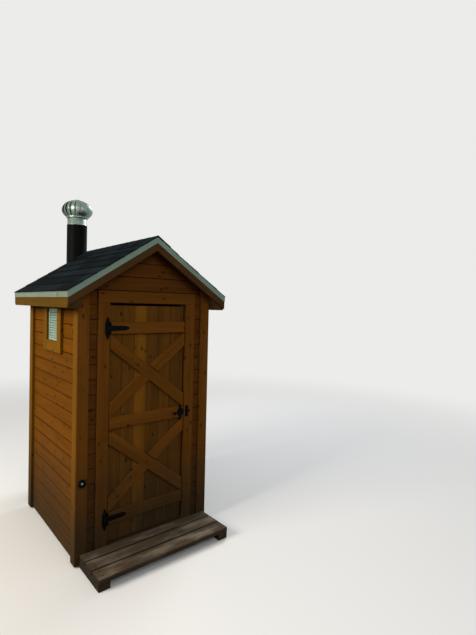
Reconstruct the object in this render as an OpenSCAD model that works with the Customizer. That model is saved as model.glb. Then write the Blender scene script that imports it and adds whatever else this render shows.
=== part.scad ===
// Wooden outhouse: framed cabin on skids, shingled gable roof, ledged and braced door, plank step,
// louvred side vent and a vent stack with a turbine head behind the rear wall.
// Origin: ground level under the middle of the cabin. Front faces -Y, +Z is up.

/* [Cabin] */
// Width over the corner boards
house_w = 1220; // [1100:10:1400]
// Depth over the corner boards
house_d = 1300; // [1150:10:1500]
// Thickness of corner boards, casings, rails and braces
trim_t = 25; // [18:1:32]
// Thickness of the horizontal siding boards
siding_t = 19; // [12:1:25]
// Wall thickness: siding, frame and lining
wall_t = 70; // [50:1:100]
// Width of a corner board
corner_w = 91; // [70:1:120]
// Width of a skid
skid_w = 89; // [70:1:140]
// Height of a skid and of the step's supports above the lowest ground
skid_h = 56; // [45:1:140]
// Thickness of the floor planks
floor_t = 38; // [25:1:50]
// How far the siding laps down over the skids
siding_lap = 46; // [10:1:50]

/* [Roof] */
// Slope of the roof in degrees
roof_angle = 33.2; // [25:0.1:42]
// Height of the ridge over the head of the doorway
ridge_rise = 557; // [500:1:650]
// Overhang of the eaves beyond the corner boards
eave_out = 109; // [60:1:200]
// Overhang of the front rake beyond the corner boards
front_out = 98; // [60:1:200]
// Overhang of the rear rake beyond the corner boards
rear_out = 131; // [60:1:200]
// Thickness of the roof boards
deck_t = 19; // [12:1:25]
// Thickness of a shingle course at its butt
shingle_t = 6; // [4:1:16]
// Shingle exposure along the slope
shingle_run = 127; // [100:1:160]
// Width of a cap shingle down each slope
cap_w = 150; // [100:1:180]
// Thickness of the cap shingles
cap_t = 5; // [3:1:15]
// Depth of a rake board, square to the slope
rake_w = 95; // [80:1:150]
// Thickness of fascias, rake boards and soffits
fascia_t = 19; // [14:1:25]
// Height of a fascia under the shingles
fascia_h = 125; // [90:1:160]
// Thickness of the metal drip edge
drip_t = 2; // [1:0.5:4]
// Face of the drip edge along the rakes
rake_drip_w = 41; // [30:1:70]
// Face of the drip edge along the eaves
eave_drip_w = 48; // [30:1:70]

/* [Doorway] */
// Width of the door opening between the casings
opening_w = 709; // [600:1:800]
// Height of the doorway over the floor
opening_h = 1943; // [1750:1:2150]
// Width of a door casing
casing_w = 96; // [70:1:120]
// Gap between the door's hinge edge and its casing
hinge_gap = 5; // [5:0.5:10]
// Gap between the door's latch edge and its casing
latch_gap = 9; // [5:0.5:15]
// Gap over the door
head_gap = 20; // [8:1:30]
// Gap under the door
foot_gap = 12; // [8:1:25]
// Gap between the back of the door and its stops
stop_gap = 5; // [5:0.5:10]
// How far the stops reach into the opening
stop_lip = 12; // [8:1:25]

/* [Door] */
// Thickness of the door's upright boards
door_board_t = 19; // [14:1:25]
// Width of the door's rails and braces
rail_w = 94; // [70:1:120]
// Middle of the top rail under the door's top edge
top_rail_drop = 182; // [60:1:260]
// Middle of the middle rail over the door's foot
mid_rail_up = 968; // [800:1:1150]
// Middle of the bottom rail over the door's foot
low_rail_up = 201; // [60:1:300]

/* [Hinges] */
// Radius of the hinge knuckles
knuckle_r = 7; // [5:0.5:10]
// Radius of the hinge pin
pin_r = 3.2; // [2:0.1:4]
// Height of the strap's middle knuckle, and width of the strap at its root
knuckle_h = 44; // [30:1:60]
// Height of each outer knuckle of the plate
outer_knuckle_h = 22; // [12:1:30]
// Thickness of the hinge and latch plates
plate_t = 3; // [2:0.5:5]
// Height of a hinge plate over its points
hinge_plate_h = 180; // [140:1:220]
// Width of a hinge plate
hinge_plate_w = 45; // [35:1:60]
// Length of a hinge strap from the pin
strap_l = 165; // [130:1:220]

/* [Latch] */
// Radius of the slide bolt
bolt_r = 6.5; // [4:0.5:9]
// Travel of the slide bolt into the keeper
bolt_travel = 40; // [30:1:60]
// Width of the latch plate on the door
latch_plate_w = 54; // [40:1:80]
// Height of the latch plate over its points
latch_plate_h = 144; // [110:1:180]
// Radius of the knob on the slide bolt
knob_r = 12; // [7:0.5:14]
// Width of the keeper's plate
keeper_w = 32; // [28:1:45]
// Height of the keeper's plate
keeper_h = 101; // [70:1:130]

/* [Bumper] */
// Radius of the round door bumper
bumper_r = 30; // [20:1:40]
// Length of the bumper
bumper_l = 25; // [15:1:40]
// Height of the bumper over the floor
bumper_up = 555; // [400:1:800]
// Distance of the bumper from the cabin's left side
bumper_in = 47; // [35:1:60]

/* [Side vent] */
// Width and height of the louvre
vent_w = 274; // [200:1:330]
// Gap between the louvre and the soffit
vent_drop = 18; // [12:1:60]
// Distance of the louvre's middle in front of the cabin's middle
vent_off = 26; // [-60:1:100]
// Width of the casings round the louvre
vent_casing_w = 94; // [60:1:110]
// Width of the louvre's rim
vent_rim = 14; // [8:1:25]
// Number of louvre slats
vent_slats = 11; // [7:1:14]

/* [Step] */
// Length of the step boards
step_l = 1157; // [900:1:1220]
// Sideways offset of the step
step_x = 6.5; // [-30:0.5:30]
// Width of a full step board
step_board_w = 128; // [90:1:150]
// Width of the step board against the cabin
rear_board_w = 109; // [70:1:150]
// Gap between step boards
step_gap = 6; // [3:1:12]
// Thickness of a step board
step_board_t = 38; // [25:1:50]
// Overhang of the step's front board beyond its supports
step_nosing = 4; // [0:1:20]

/* [Vent stack] */
// Radius of the vent pipe
pipe_r = 106; // [80:1:120]
// Wall of the vent pipe
pipe_wall = 4; // [2:0.5:8]
// Height of the pipe's top over the ridge
pipe_rise = 285; // [200:1:450]
// Sideways place of the pipe
pipe_x = -74; // [-150:1:150]
// Gap between the shingles and the pipe
pipe_gap = 12; // [8:1:60]
// Height of the lower bracket
low_bracket_z = 700; // [300:1:1000]
// Height of the upper bracket
high_bracket_z = 1700; // [1300:1:1850]
// Height of the metal collar over the pipe
collar_h = 76; // [50:1:120]
// Radius of the turbine head
head_r = 162; // [130:1:180]
// Height of the turbine head
head_h = 204; // [150:1:230]
// Number of turbine vanes
vanes = 22; // [16:1:28]
// Thickness of the vane sheet
vane_t = 1.6; // [1:0.1:2.5]

/* [Hidden] */
$fn = 64;
half_w = house_w / 2;
half_d = house_d / 2;
side_x = half_w - trim_t;
side_y = half_d - trim_t;
inner_x = side_x - wall_t;
inner_y = side_y - wall_t;
skin_x = side_x - siding_t;
skin_y = side_y - siding_t;
floor_z = skid_h + floor_t;
wall_foot = skid_h - siding_lap;
opening_top = floor_z + opening_h;

// How far a cutting solid runs past what it cuts
cut = 1;

// Roof planes: heights under the ridge are measured square to the slope
slope = tan(roof_angle);
ridge_z = opening_top + ridge_rise;
eave_x = half_w + eave_out;
front_y = -half_d - front_out;
rear_y = half_d + rear_out;
deck_off = shingle_t;
// The shingles lie a hair above the boards, so that flush solids don't overlap by rounding
bed_off = shingle_t - 0.02;
under_off = shingle_t + deck_t;
seat_gap = 0.3;
wall_off = under_off + seat_gap;
shingle_lap = 8;
function roof_z(x, off = 0) = ridge_z - abs(x) * slope - off / cos(roof_angle);
face_x = eave_x - drip_t;
soffit_x = face_x - fascia_t;
fascia_foot = roof_z(face_x, deck_off) - fascia_h;
soffit_z = fascia_foot + fascia_t;

opening_x = opening_w / 2;
door_left = -opening_x + hinge_gap;
door_right = opening_x - latch_gap;
door_w = door_right - door_left;
door_foot = floor_z + foot_gap;
door_top = opening_top - head_gap;
top_rail_z = door_top - top_rail_drop;
mid_rail_z = door_foot + mid_rail_up;
low_rail_z = door_foot + low_rail_up;
casing_y = -half_d;
board_y = -side_y;
door_back = board_y + door_board_t;
stop_y = door_back + stop_gap;

hinge_x = -opening_x + hinge_gap / 2;
hinge_y = casing_y - knuckle_r;
run_fit = 0.05;
knuckle_gap = 0.5;

bolt_z = mid_rail_z;
bolt_lift = 2.5;
bolt_y = casing_y - plate_t - bolt_r - bolt_lift;
latch_inset = 4;
bolt_end = door_right - latch_inset;
knob_room = 11;
bolt_l = latch_plate_w + bolt_travel + knob_room;
guide_t = 2.5;
guide_l = 12;
guide_inset = 2;

vent_y = -vent_off;
vent_foot = fascia_foot - vent_drop - vent_w;
vent_z = vent_foot + vent_w / 2;
vent_hole = vent_w - 2 * vent_rim;
louvre_t = 6;
louvre_wall = 2.5;
louvre_fit = 0.3;
sleeve_d = 24;
slat_d = 26;
slat_t = 2.5;
slat_angle = 40;
slat_inset = 1.5;

step_y = -half_d;
step_d = 2 * step_board_w + rear_board_w + 2 * step_gap;

pipe_y = rear_y + shingle_lap + pipe_gap + pipe_r;
pipe_top = ridge_z + pipe_rise;
collar_fit = 0.5;
collar_r = pipe_r - pipe_wall - collar_fit;
collar_top = pipe_top + collar_h;
head_gap_z = 5;
head_z = collar_top + head_gap_z;
spindle_r = 6;
spider_drop = 24;
crown_h = 12;

// Box between two corners
module block(a, b) {
    translate(a) cube(b - a);
}

// Profile in the X-Z plane, extruded from y0 to y1
module along_y(points, y0, y1) {
    translate([0, y1, 0]) rotate([90, 0, 0]) linear_extrude(y1 - y0) polygon(points);
}

// Flat shape in the X-Z plane, t thick, with its back at y
module on_face(y, t) {
    translate([0, y, 0]) rotate([90, 0, 0]) linear_extrude(t) children();
}

module mirrored(side) {
    if (side > 0) children();
    else mirror([1, 0, 0]) children();
}

module skids() {
    color("darkkhaki")
    for (x = [-skin_x + skid_w / 2, 0, skin_x - skid_w / 2])
        block([x - skid_w / 2, -skin_y, 0], [x + skid_w / 2, skin_y, skid_h]);
}

// Planks as one slab, with a tongue that fills the doorway as its threshold
module floor_slab() {
    color("burlywood")
    translate([0, 0, skid_h]) linear_extrude(floor_t) union() {
        square([2 * skin_x, 2 * skin_y], center = true);
        translate([-opening_x, -half_d]) square([opening_w, house_d / 2]);
    }
}

// Right-hand side wall, its top cut to the roof boards
module side_wall() {
    along_y([[skin_x, wall_foot], [side_x, wall_foot], [side_x, roof_z(side_x, wall_off)],
        [inner_x, roof_z(inner_x, wall_off)], [inner_x, floor_z], [skin_x, floor_z]],
        -side_y, side_y);
}

module left_wall() {
    color("peru")
    difference() {
        mirrored(-1) side_wall();
        translate([-side_x + wall_t / 2, vent_y, vent_z]) cube([2 * wall_t, vent_hole, vent_hole], center = true);
    }
}

module right_wall() {
    color("peru") side_wall();
}

module gable_outline(foot) {
    polygon([[-inner_x, foot], [inner_x, foot], [inner_x, roof_z(inner_x, wall_off)],
        [0, roof_z(0, wall_off)], [-inner_x, roof_z(inner_x, wall_off)]]);
}

module rear_wall() {
    color("peru")
    union() {
        on_face(side_y, wall_t) gable_outline(floor_z);
        block([-inner_x, skin_y, wall_foot], [inner_x, side_y, floor_z]);
    }
}

// Wall beside the doorway, with the door stop along its edge
module front_wall(side) {
    color("peru")
    mirrored(side)
    union() {
        translate([0, 0, floor_z]) linear_extrude(opening_top - floor_z)
            polygon([[inner_x, -side_y], [opening_x, -side_y], [opening_x, stop_y],
                [opening_x - stop_lip, stop_y], [opening_x - stop_lip, -inner_y], [inner_x, -inner_y]]);
        block([opening_x, -side_y, wall_foot], [inner_x, -skin_y, floor_z]);
    }
}

module front_gable() {
    color("peru") on_face(-inner_y, wall_t) gable_outline(opening_top);
}

// Corner post of two boards: the one on the gable side laps the one on the eave side
module corner_board() {
    intersection() {
        translate([0, 0, wall_foot]) linear_extrude(ridge_z)
            polygon([[half_w - corner_w, side_y], [side_x, side_y], [side_x, half_d - corner_w],
                [half_w, half_d - corner_w], [half_w, half_d], [half_w - corner_w, half_d]]);
        along_y([[0, 0], [house_w, 0], [house_w, roof_z(house_w, wall_off)], [0, roof_z(0, wall_off)]],
            0, house_d);
    }
}

module corner(sx, sy) {
    color("sienna")
    mirrored(sx)
    if (sy > 0) corner_board();
    else mirror([0, 1, 0]) corner_board();
}

module casing(side) {
    color("sienna")
    mirrored(side)
    block([opening_x, casing_y, wall_foot], [opening_x + casing_w, board_y, opening_top]);
}

module head_casing() {
    color("sienna")
    block([-opening_x - casing_w, casing_y, opening_top],
        [opening_x + casing_w, board_y, opening_top + rail_w]);
}

// Casing boards round the louvre; the top board is a narrow strip under the soffit
module vent_frame() {
    r = vent_w / 2;
    color("sienna")
    difference() {
        block([-half_w, vent_y - r - vent_casing_w, vent_foot - vent_casing_w],
            [-side_x, vent_y + r + vent_casing_w, fascia_foot]);
        block([-half_w - cut, vent_y - r, vent_foot], [-side_x + cut, vent_y + r, vent_foot + vent_w]);
    }
}

// Moulded louvre: a rim on the siding, a sleeve through the wall and slats that rise inwards
module vent_louvre() {
    sleeve = vent_hole - 2 * louvre_fit;
    inside = sleeve - 2 * louvre_wall;
    slat_pitch = inside / vent_slats;
    slat_l = inside + louvre_wall;
    color("whitesmoke")
    translate([-side_x, vent_y, vent_z])
    union() {
        difference() {
            union() {
                translate([-louvre_t, -vent_w / 2, -vent_w / 2]) cube([louvre_t, vent_w, vent_w]);
                translate([-louvre_t, -sleeve / 2, -sleeve / 2]) cube([louvre_t + sleeve_d, sleeve, sleeve]);
            }
            translate([-louvre_t - cut, -inside / 2, -inside / 2])
                cube([louvre_t + sleeve_d + 2 * cut, inside, inside]);
        }
        for (i = [0 : vent_slats - 1])
            translate([slat_inset - louvre_t, -slat_l / 2, (i + 0.2) * slat_pitch - inside / 2])
            rotate([0, -slat_angle, 0]) cube([slat_d, slat_l, slat_t]);
    }
}

module roof_deck(side) {
    color("tan")
    mirrored(side)
    along_y([[0, roof_z(0, deck_off)], [soffit_x, roof_z(soffit_x, deck_off)],
        [soffit_x, roof_z(soffit_x, under_off)], [0, roof_z(0, under_off)]],
        front_y + fascia_t, rear_y - fascia_t);
}

// Courses as a stepped section: each is thick at its butt and thin under the next
function course_count() = ceil((eave_x / cos(roof_angle)) / shingle_run);
function course_x(i) = max(0, eave_x + shingle_lap - i * shingle_run * cos(roof_angle));
function course_top(i) = [
    [course_x(i), roof_z(course_x(i), 0)],
    [course_x(i + 1), roof_z(course_x(i + 1), shingle_t / 2)]];

module shingles(side) {
    x0 = eave_x + shingle_lap;
    color("darkslategray")
    mirrored(side)
    along_y(concat([[0, roof_z(0, bed_off)], [x0, roof_z(x0, bed_off)]],
        [for (i = [0 : course_count() - 1]) each course_top(i)]),
        front_y - shingle_lap, rear_y + shingle_lap);
}

module ridge_cap() {
    x1 = cap_w * cos(roof_angle);
    color("darkslategray")
    for (side = [-1, 1])
        mirrored(side)
        along_y([[0, ridge_z], [x1, roof_z(x1)], [x1, roof_z(x1, -cap_t)], [0, roof_z(0, -cap_t)]],
            front_y - shingle_lap, rear_y + shingle_lap);
}

module fascia(side) {
    color("peru")
    mirrored(side)
    along_y([[soffit_x, fascia_foot], [face_x, fascia_foot], [face_x, roof_z(face_x, deck_off)],
        [soffit_x, roof_z(soffit_x, deck_off)]], front_y + fascia_t, rear_y - fascia_t);
}

// Upright filling from the soffit to the roof boards, out to x1
module return_board(x1, y0, y1) {
    along_y([[half_w, fascia_foot], [x1, fascia_foot], [x1, roof_z(x1, wall_off)],
        [half_w, roof_z(half_w, wall_off)]], y0, y1);
}

// Level board under the eave, let in between the corner boards, boxed in at each end of the eave
module soffit(side) {
    color("sienna")
    mirrored(side)
    union() {
        block([side_x, corner_w - half_d, fascia_foot], [soffit_x, half_d - corner_w, soffit_z]);
        block([half_w, front_y + fascia_t, fascia_foot], [soffit_x, rear_y - fascia_t, soffit_z]);
        for (y = [front_y + fascia_t, rear_y - 2 * fascia_t])
            return_board(soffit_x, y, y + fascia_t);
        return_board(half_w + fascia_t, front_y + fascia_t, -half_d);
        return_board(half_w + fascia_t, half_d, rear_y - fascia_t);
    }
}

// Pair of sloping boards with plumb ends and level-cut tails
module rakes(y) {
    low = deck_off + rake_w;
    tail_x = (ridge_z - low / cos(roof_angle) - fascia_foot) / slope;
    tail = tail_x < face_x ? [[face_x, fascia_foot], [tail_x, fascia_foot]] : [[face_x, roof_z(face_x, low)]];
    color("sienna")
    for (side = [-1, 1])
        mirrored(side)
        along_y(concat([[0, roof_z(0, low)], [0, roof_z(0, deck_off)], [face_x, roof_z(face_x, deck_off)]],
            tail), y, y + fascia_t);
}

// Metal angle along the eave and up both rakes of one side
module drip_edge(side) {
    kick = 3;
    top = roof_z(face_x, deck_off);
    foot = top - eave_drip_w;
    color("lightblue")
    mirrored(side)
    union() {
        along_y([[face_x, top], [face_x, foot], [eave_x + kick, foot], [eave_x, foot + kick],
            [eave_x, roof_z(eave_x, deck_off)]], front_y - drip_t, rear_y + drip_t);
        for (y = [front_y - drip_t, rear_y])
            along_y([[0, roof_z(0, deck_off)], [face_x, top],
                [face_x, roof_z(face_x, deck_off + rake_drip_w)], [0, roof_z(0, deck_off + rake_drip_w)]],
                y, y + drip_t);
    }
}

module step_boards() {
    widths = [step_board_w, step_board_w, rear_board_w];
    color("tan")
    for (i = [0 : 2])
        translate([step_x - step_l / 2, step_y - step_d + i * (step_board_w + step_gap), floor_z - step_board_t])
        cube([step_l, widths[i], step_board_t]);
}

module step_supports() {
    color("tan")
    for (x = [step_x - step_l / 2, step_x + step_l / 2 - skid_w])
        block([x, step_y - step_d + step_nosing, 0], [x + skid_w, step_y, floor_z - step_board_t]);
}

module tube(r, wall, h) {
    rotate_extrude() translate([r - wall, 0]) square([wall, h]);
}

module vent_pipe() {
    color("black") translate([pipe_x, pipe_y, 0]) tube(pipe_r, pipe_wall, pipe_top);
}

// Two straps round the pipe, each on a pair of arms with a plate on the rear wall
module pipe_brackets() {
    strap_h = 30;
    strap_t = 3;
    arm_x = 70;
    foot_x = 25;
    color("black")
    for (z = [low_bracket_z, high_bracket_z])
        translate([pipe_x, 0, z])
        union() {
            translate([0, pipe_y, 0]) tube(pipe_r + strap_t, strap_t, strap_h);
            difference() {
                for (x = [-arm_x, arm_x])
                    block([x - strap_t, side_y, 0], [x + strap_t, pipe_y, strap_h]);
                translate([0, pipe_y, -cut]) cylinder(r = pipe_r + strap_t / 2, h = strap_h + 2 * cut);
            }
            block([-arm_x - foot_x, side_y, 0], [arm_x + foot_x, side_y + strap_t, strap_h]);
        }
}

// Sheet collar in the pipe's mouth, with a bead on its rim and a spider that carries the spindle
module turbine_base() {
    sheet = 2;
    tuck = 60;
    bead = 4;
    arm = 8;
    color("silver")
    translate([pipe_x, pipe_y, 0])
    union() {
        translate([0, 0, pipe_top - tuck]) tube(collar_r, sheet, collar_h + tuck);
        translate([0, 0, pipe_top]) tube(pipe_r, pipe_r - collar_r + sheet / 2, bead);
        for (a = [0, 120, 240])
            rotate([0, 0, a]) translate([0, -arm / 2, collar_top - spider_drop])
            cube([collar_r - sheet / 2, arm, arm]);
        translate([0, 0, collar_top - spider_drop])
            cylinder(r = spindle_r, h = crown_z - collar_top + spider_drop);
    }
}

// Meridian of the head: an ellipse cut off at the foot ring and the crown
low_a = -46;
high_a = 74;
vane_steps = 9;
swirl_a = 34;
vane_span_a = 1.2 * 360 / vanes;
vane_dish = 0.84;
ring_h = 12;
head_b = (head_h - crown_h - ring_h / 2) / (sin(high_a) - sin(low_a));
head_mid = head_z + ring_h / 2 - head_b * sin(low_a);
crown_z = head_mid + head_b * sin(high_a);
function vane_angle(k) = low_a + (high_a - low_a) * k / vane_steps;
function vane_ring(k, a, t) = let (
    m = vane_angle(k),
    r = head_r * cos(m),
    z = head_mid + head_b * sin(m),
    turn = a + swirl_a * k / vane_steps,
    back = turn + vane_span_a,
    inner = r * vane_dish)
    [[r * cos(turn), r * sin(turn), z], [inner * cos(back), inner * sin(back), z],
     [(inner - t) * cos(back), (inner - t) * sin(back), z], [(r - t) * cos(turn), (r - t) * sin(turn), z]];

// One curved vane: four-cornered rings from foot to crown
module vane(a) {
    n = vane_steps;
    points = [for (k = [0 : n]) each vane_ring(k, a, vane_t)];
    sides = [for (k = [0 : n - 1], c = [0 : 3])
        let (p = 4 * k + c, q = 4 * k + (c + 1) % 4)
        each [[p, p + 4, q + 4], [p, q + 4, q]]];
    polyhedron(points, concat(sides, [[0, 1, 2], [0, 2, 3]],
        [[4 * n + 2, 4 * n + 1, 4 * n], [4 * n + 3, 4 * n + 2, 4 * n]]));
}

module turbine_rotor() {
    ring_t = 3;
    ring_r = head_r * cos(low_a) + 2;
    ring_w = 22;
    crown_r = head_r * cos(high_a) + 4;
    crown_t = 3;
    hub_r = 14;
    hub_h = 26;
    bore_r = spindle_r + run_fit;
    color("silver")
    translate([pipe_x, pipe_y, 0])
    union() {
        translate([0, 0, head_z]) tube(ring_r, ring_w, ring_t);
        translate([0, 0, head_z]) tube(ring_r, ring_t, ring_h);
        for (i = [0 : vanes - 1]) vane(i * 360 / vanes);
        rotate_extrude()
            polygon([[bore_r, crown_z - hub_h], [hub_r, crown_z - hub_h], [hub_r, crown_z - crown_t],
                [crown_r, crown_z - 2 * crown_t], [crown_r, crown_z - crown_t],
                [(crown_r + hub_r) / 2, crown_z + crown_h * 2 / 3], [hub_r, crown_z + crown_h],
                [bore_r, crown_z + crown_h]]);
    }
}

module door_boards() {
    color("saddlebrown")
    block([door_left, board_y, door_foot], [door_right, door_back, door_top]);
}

module door_rails() {
    color("sienna")
    for (z = [low_rail_z, mid_rail_z, top_rail_z])
        block([door_left, casing_y, z - rail_w / 2], [door_right, board_y, z + rail_w / 2]);
}

// Upright cut of a brace that runs corner to corner of a panel h tall
function brace_cut(h) = let (a = atan(h / door_w), b = atan((h - rail_w / cos(a)) / door_w))
    rail_w / cos(b);

// Crossed braces between two rails: one unbroken, one in two pieces against it
module brace_pair(z0, z1) {
    cut = brace_cut(z1 - z0);
    on_face(board_y, trim_t) union() {
        polygon([[door_left, z1], [door_left, z1 - cut], [door_right, z0], [door_right, z0 + cut]]);
        polygon([[door_right, z1], [door_right, z1 - cut], [door_left, z0], [door_left, z0 + cut]]);
    }
}

module door_braces() {
    color("sienna")
    for (pair = [[low_rail_z, mid_rail_z], [mid_rail_z, top_rail_z]])
        brace_pair(pair[0] + rail_w / 2, pair[1] - rail_w / 2);
}

// Plate outline: full width to the height full, then tapered to a neck, barbs and a spear tip at each end
function spear_plate(w, h, full, taper) = let (shoulder = full + taper, arm = 0.26 * w, neck = 0.16 * w,
    barb = 0.28 * w, neck_z = shoulder + 0.06 * w, barb_z = shoulder + 0.22 * w)
    [[-w / 2, -full], [-arm, -shoulder], [-neck, -neck_z], [-barb, -barb_z], [0, -h / 2], [barb, -barb_z],
     [neck, -neck_z], [arm, -shoulder], [w / 2, -full], [w / 2, full], [arm, shoulder], [neck, neck_z],
     [barb, barb_z], [0, h / 2], [-barb, barb_z], [-neck, neck_z], [-arm, shoulder], [-w / 2, full]];

// Strap outline: nearly even, with a spear point at its free end
function strap_outline(l, w) = let (tip = 0.4 * w, neck = 0.18 * w, barb = 0.3 * w, tip_x = l - 0.62 * w,
    neck_x = tip_x + 0.08 * w, barb_x = tip_x + 0.25 * w)
    [[0, -w / 2], [tip_x, -tip], [neck_x, -neck], [barb_x, -barb], [l, 0], [barb_x, barb], [neck_x, neck],
     [tip_x, tip], [0, w / 2]];

// Fixed leaf, with two outer knuckles and the pin through them
module hinge_plates() {
    slot_gap = 1.5;
    half = knuckle_h / 2 + knuckle_gap;
    color("black")
    for (z = [low_rail_z, top_rail_z])
        translate([hinge_x, 0, z])
        union() {
            difference() {
                on_face(casing_y, plate_t) translate([-hinge_plate_w / 2, 0])
                    polygon(spear_plate(hinge_plate_w, hinge_plate_h, 40, 26));
                block([-knuckle_r - slot_gap, casing_y - plate_t - cut, -half], [slot_gap, casing_y + cut, half]);
            }
            for (s = [-half - outer_knuckle_h, half])
                translate([0, hinge_y, s]) cylinder(r = knuckle_r, h = outer_knuckle_h);
            translate([0, hinge_y, -half - outer_knuckle_h / 2])
                cylinder(r = pin_r, h = 2 * half + outer_knuckle_h);
        }
}

module hinge_straps() {
    color("black")
    for (z = [low_rail_z, top_rail_z])
        translate([hinge_x, 0, z])
        difference() {
            union() {
                on_face(casing_y, plate_t) polygon(strap_outline(strap_l, knuckle_h));
                translate([0, hinge_y, -knuckle_h / 2]) cylinder(r = knuckle_r, h = knuckle_h);
            }
            translate([0, hinge_y, -knuckle_h]) cylinder(r = pin_r + run_fit, h = 2 * knuckle_h);
        }
}

// Loop that guides the bolt: a block on the plate with a bore along X
module guide(x, l, bore) {
    r = bore + guide_t;
    difference() {
        union() {
            translate([x, bolt_y, bolt_z]) rotate([0, 90, 0]) cylinder(r = r, h = l);
            block([x, bolt_y, bolt_z - r], [x + l, casing_y - plate_t, bolt_z + r]);
        }
        translate([x - cut, bolt_y, bolt_z]) rotate([0, 90, 0]) cylinder(r = bore, h = l + 2 * cut);
    }
}

module bolt_housing() {
    x = bolt_end - latch_plate_w / 2;
    color("black")
    union() {
        on_face(casing_y, plate_t) translate([x, bolt_z]) polygon(spear_plate(latch_plate_w, latch_plate_h, 27, 8));
        guide(bolt_end - latch_plate_w + guide_inset, guide_l, bolt_r + run_fit);
        guide(bolt_end - guide_l - guide_inset, guide_l, bolt_r + run_fit);
    }
}

module slide_bolt() {
    stem_r = 4;
    stem_l = 24;
    back = bolt_end - bolt_l;
    stem_x = back + 6;
    color("black")
    union() {
        translate([back, bolt_y, bolt_z]) rotate([0, 90, 0]) cylinder(r = bolt_r, h = bolt_l);
        translate([stem_x, bolt_y, bolt_z]) rotate([90, 0, 0]) cylinder(r = stem_r, h = stem_l);
        translate([stem_x, bolt_y - stem_l, bolt_z]) sphere(r = knob_r);
    }
}

module bolt_keeper() {
    x = bolt_end + bolt_travel - guide_l - guide_inset;
    side = x + keeper_w;
    tip = 22;
    bore_gap = 1.5;
    h = keeper_h;
    color("black")
    union() {
        on_face(casing_y, plate_t) translate([0, bolt_z])
            polygon([[x, -h / 2], [side, -h / 2], [side, -h / 6], [side + tip, 0], [side, h / 6],
                [side, h / 2], [x, h / 2]]);
        guide(x + guide_inset, guide_l, bolt_r + bore_gap);
    }
}

module door_bumper() {
    edge = 3;
    color("black")
    translate([bumper_in - half_w, casing_y, floor_z + bumper_up]) rotate([90, 0, 0])
    rotate_extrude()
    polygon([[0, 0], [bumper_r, 0], [bumper_r, bumper_l - edge], [bumper_r - edge, bumper_l], [0, bumper_l]]);
}

skids();
floor_slab();  // floor
left_wall();
right_wall();
rear_wall();
front_wall(-1);  // front_wall_left
front_wall(1);  // front_wall_right
front_gable();
corner(-1, -1);  // corner_front_left
corner(1, -1);  // corner_front_right
corner(-1, 1);  // corner_rear_left
corner(1, 1);  // corner_rear_right
casing(-1);  // casing_left
casing(1);  // casing_right
head_casing();
vent_frame();
vent_louvre();
roof_deck(-1);  // roof_deck_left
roof_deck(1);  // roof_deck_right
shingles(-1);  // shingles_left
shingles(1);  // shingles_right
ridge_cap();
fascia(-1);  // fascia_left
fascia(1);  // fascia_right
rakes(front_y);  // front_rakes
rakes(rear_y - fascia_t);  // rear_rakes
soffit(-1);  // soffit_left
soffit(1);  // soffit_right
drip_edge(-1);  // drip_edge_left
drip_edge(1);  // drip_edge_right
step_boards();
step_supports();
vent_pipe();
pipe_brackets();
turbine_base();
turbine_rotor();
door_boards();
door_rails();
door_braces();
hinge_plates();
hinge_straps();
bolt_housing();
slide_bolt();
bolt_keeper();
door_bumper();
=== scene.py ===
"""Looks of a small wooden outhouse: stained boards, asphalt shingles, metal edges, black ironwork and a
galvanised turbine head, built around the fixed frame of its construction."""

import math
import random

import bmesh
import bpy
from mathutils import Matrix, Vector


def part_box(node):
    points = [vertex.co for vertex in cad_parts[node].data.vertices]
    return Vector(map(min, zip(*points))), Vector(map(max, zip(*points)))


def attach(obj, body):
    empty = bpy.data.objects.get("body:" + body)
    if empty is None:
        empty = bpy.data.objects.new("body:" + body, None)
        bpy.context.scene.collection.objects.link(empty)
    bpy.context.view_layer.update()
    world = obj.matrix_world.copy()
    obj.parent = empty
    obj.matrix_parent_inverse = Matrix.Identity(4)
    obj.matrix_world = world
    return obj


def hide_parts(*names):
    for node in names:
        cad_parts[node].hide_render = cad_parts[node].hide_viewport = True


bl_info = {
    "name": "Wooden outhouse",
    "version": (1, 0, 0),
    "blender": (4, 5, 0),
    "location": "3D view > Sidebar > Outhouse",
    "description": "Boards, shingles, metal edges, ironwork and finishes of a small outhouse",
    "category": "Object",
}

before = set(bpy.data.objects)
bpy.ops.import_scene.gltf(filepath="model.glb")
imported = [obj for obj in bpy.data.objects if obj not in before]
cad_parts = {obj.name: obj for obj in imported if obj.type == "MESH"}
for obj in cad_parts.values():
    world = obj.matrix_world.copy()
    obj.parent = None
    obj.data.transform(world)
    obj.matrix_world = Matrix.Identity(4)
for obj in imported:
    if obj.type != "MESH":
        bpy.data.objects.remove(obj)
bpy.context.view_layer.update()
MM = 0.001

# Places taken from the frame: the walls, the doorway and the roof planes
LEFT_LOW, LEFT_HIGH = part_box("left_wall")
CORNER_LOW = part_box("corner_front_left")[0]
HEAD_LOW, HEAD_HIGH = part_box("head_casing")
FLOOR_LOW, FLOOR_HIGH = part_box("floor")
SHINGLE_LOW, SHINGLE_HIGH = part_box("shingles_right")
DECK_LOW, DECK_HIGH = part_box("roof_deck_right")
SIDE_X = -LEFT_LOW.x
SIDE_Y = LEFT_HIGH.y
INNER_X = -LEFT_HIGH.x
INNER_Y = -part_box("front_gable")[1].y
HALF_W = -CORNER_LOW.x
HALF_D = -CORNER_LOW.y
FLOOR_Z = FLOOR_HIGH.z
OPENING_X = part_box("casing_right")[0].x
OPENING_TOP = HEAD_LOW.z
# The stop that the closed door meets
STOP_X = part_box("front_wall_right")[0].x
STOP_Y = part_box("door_boards")[1].y + 5 * MM

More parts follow.
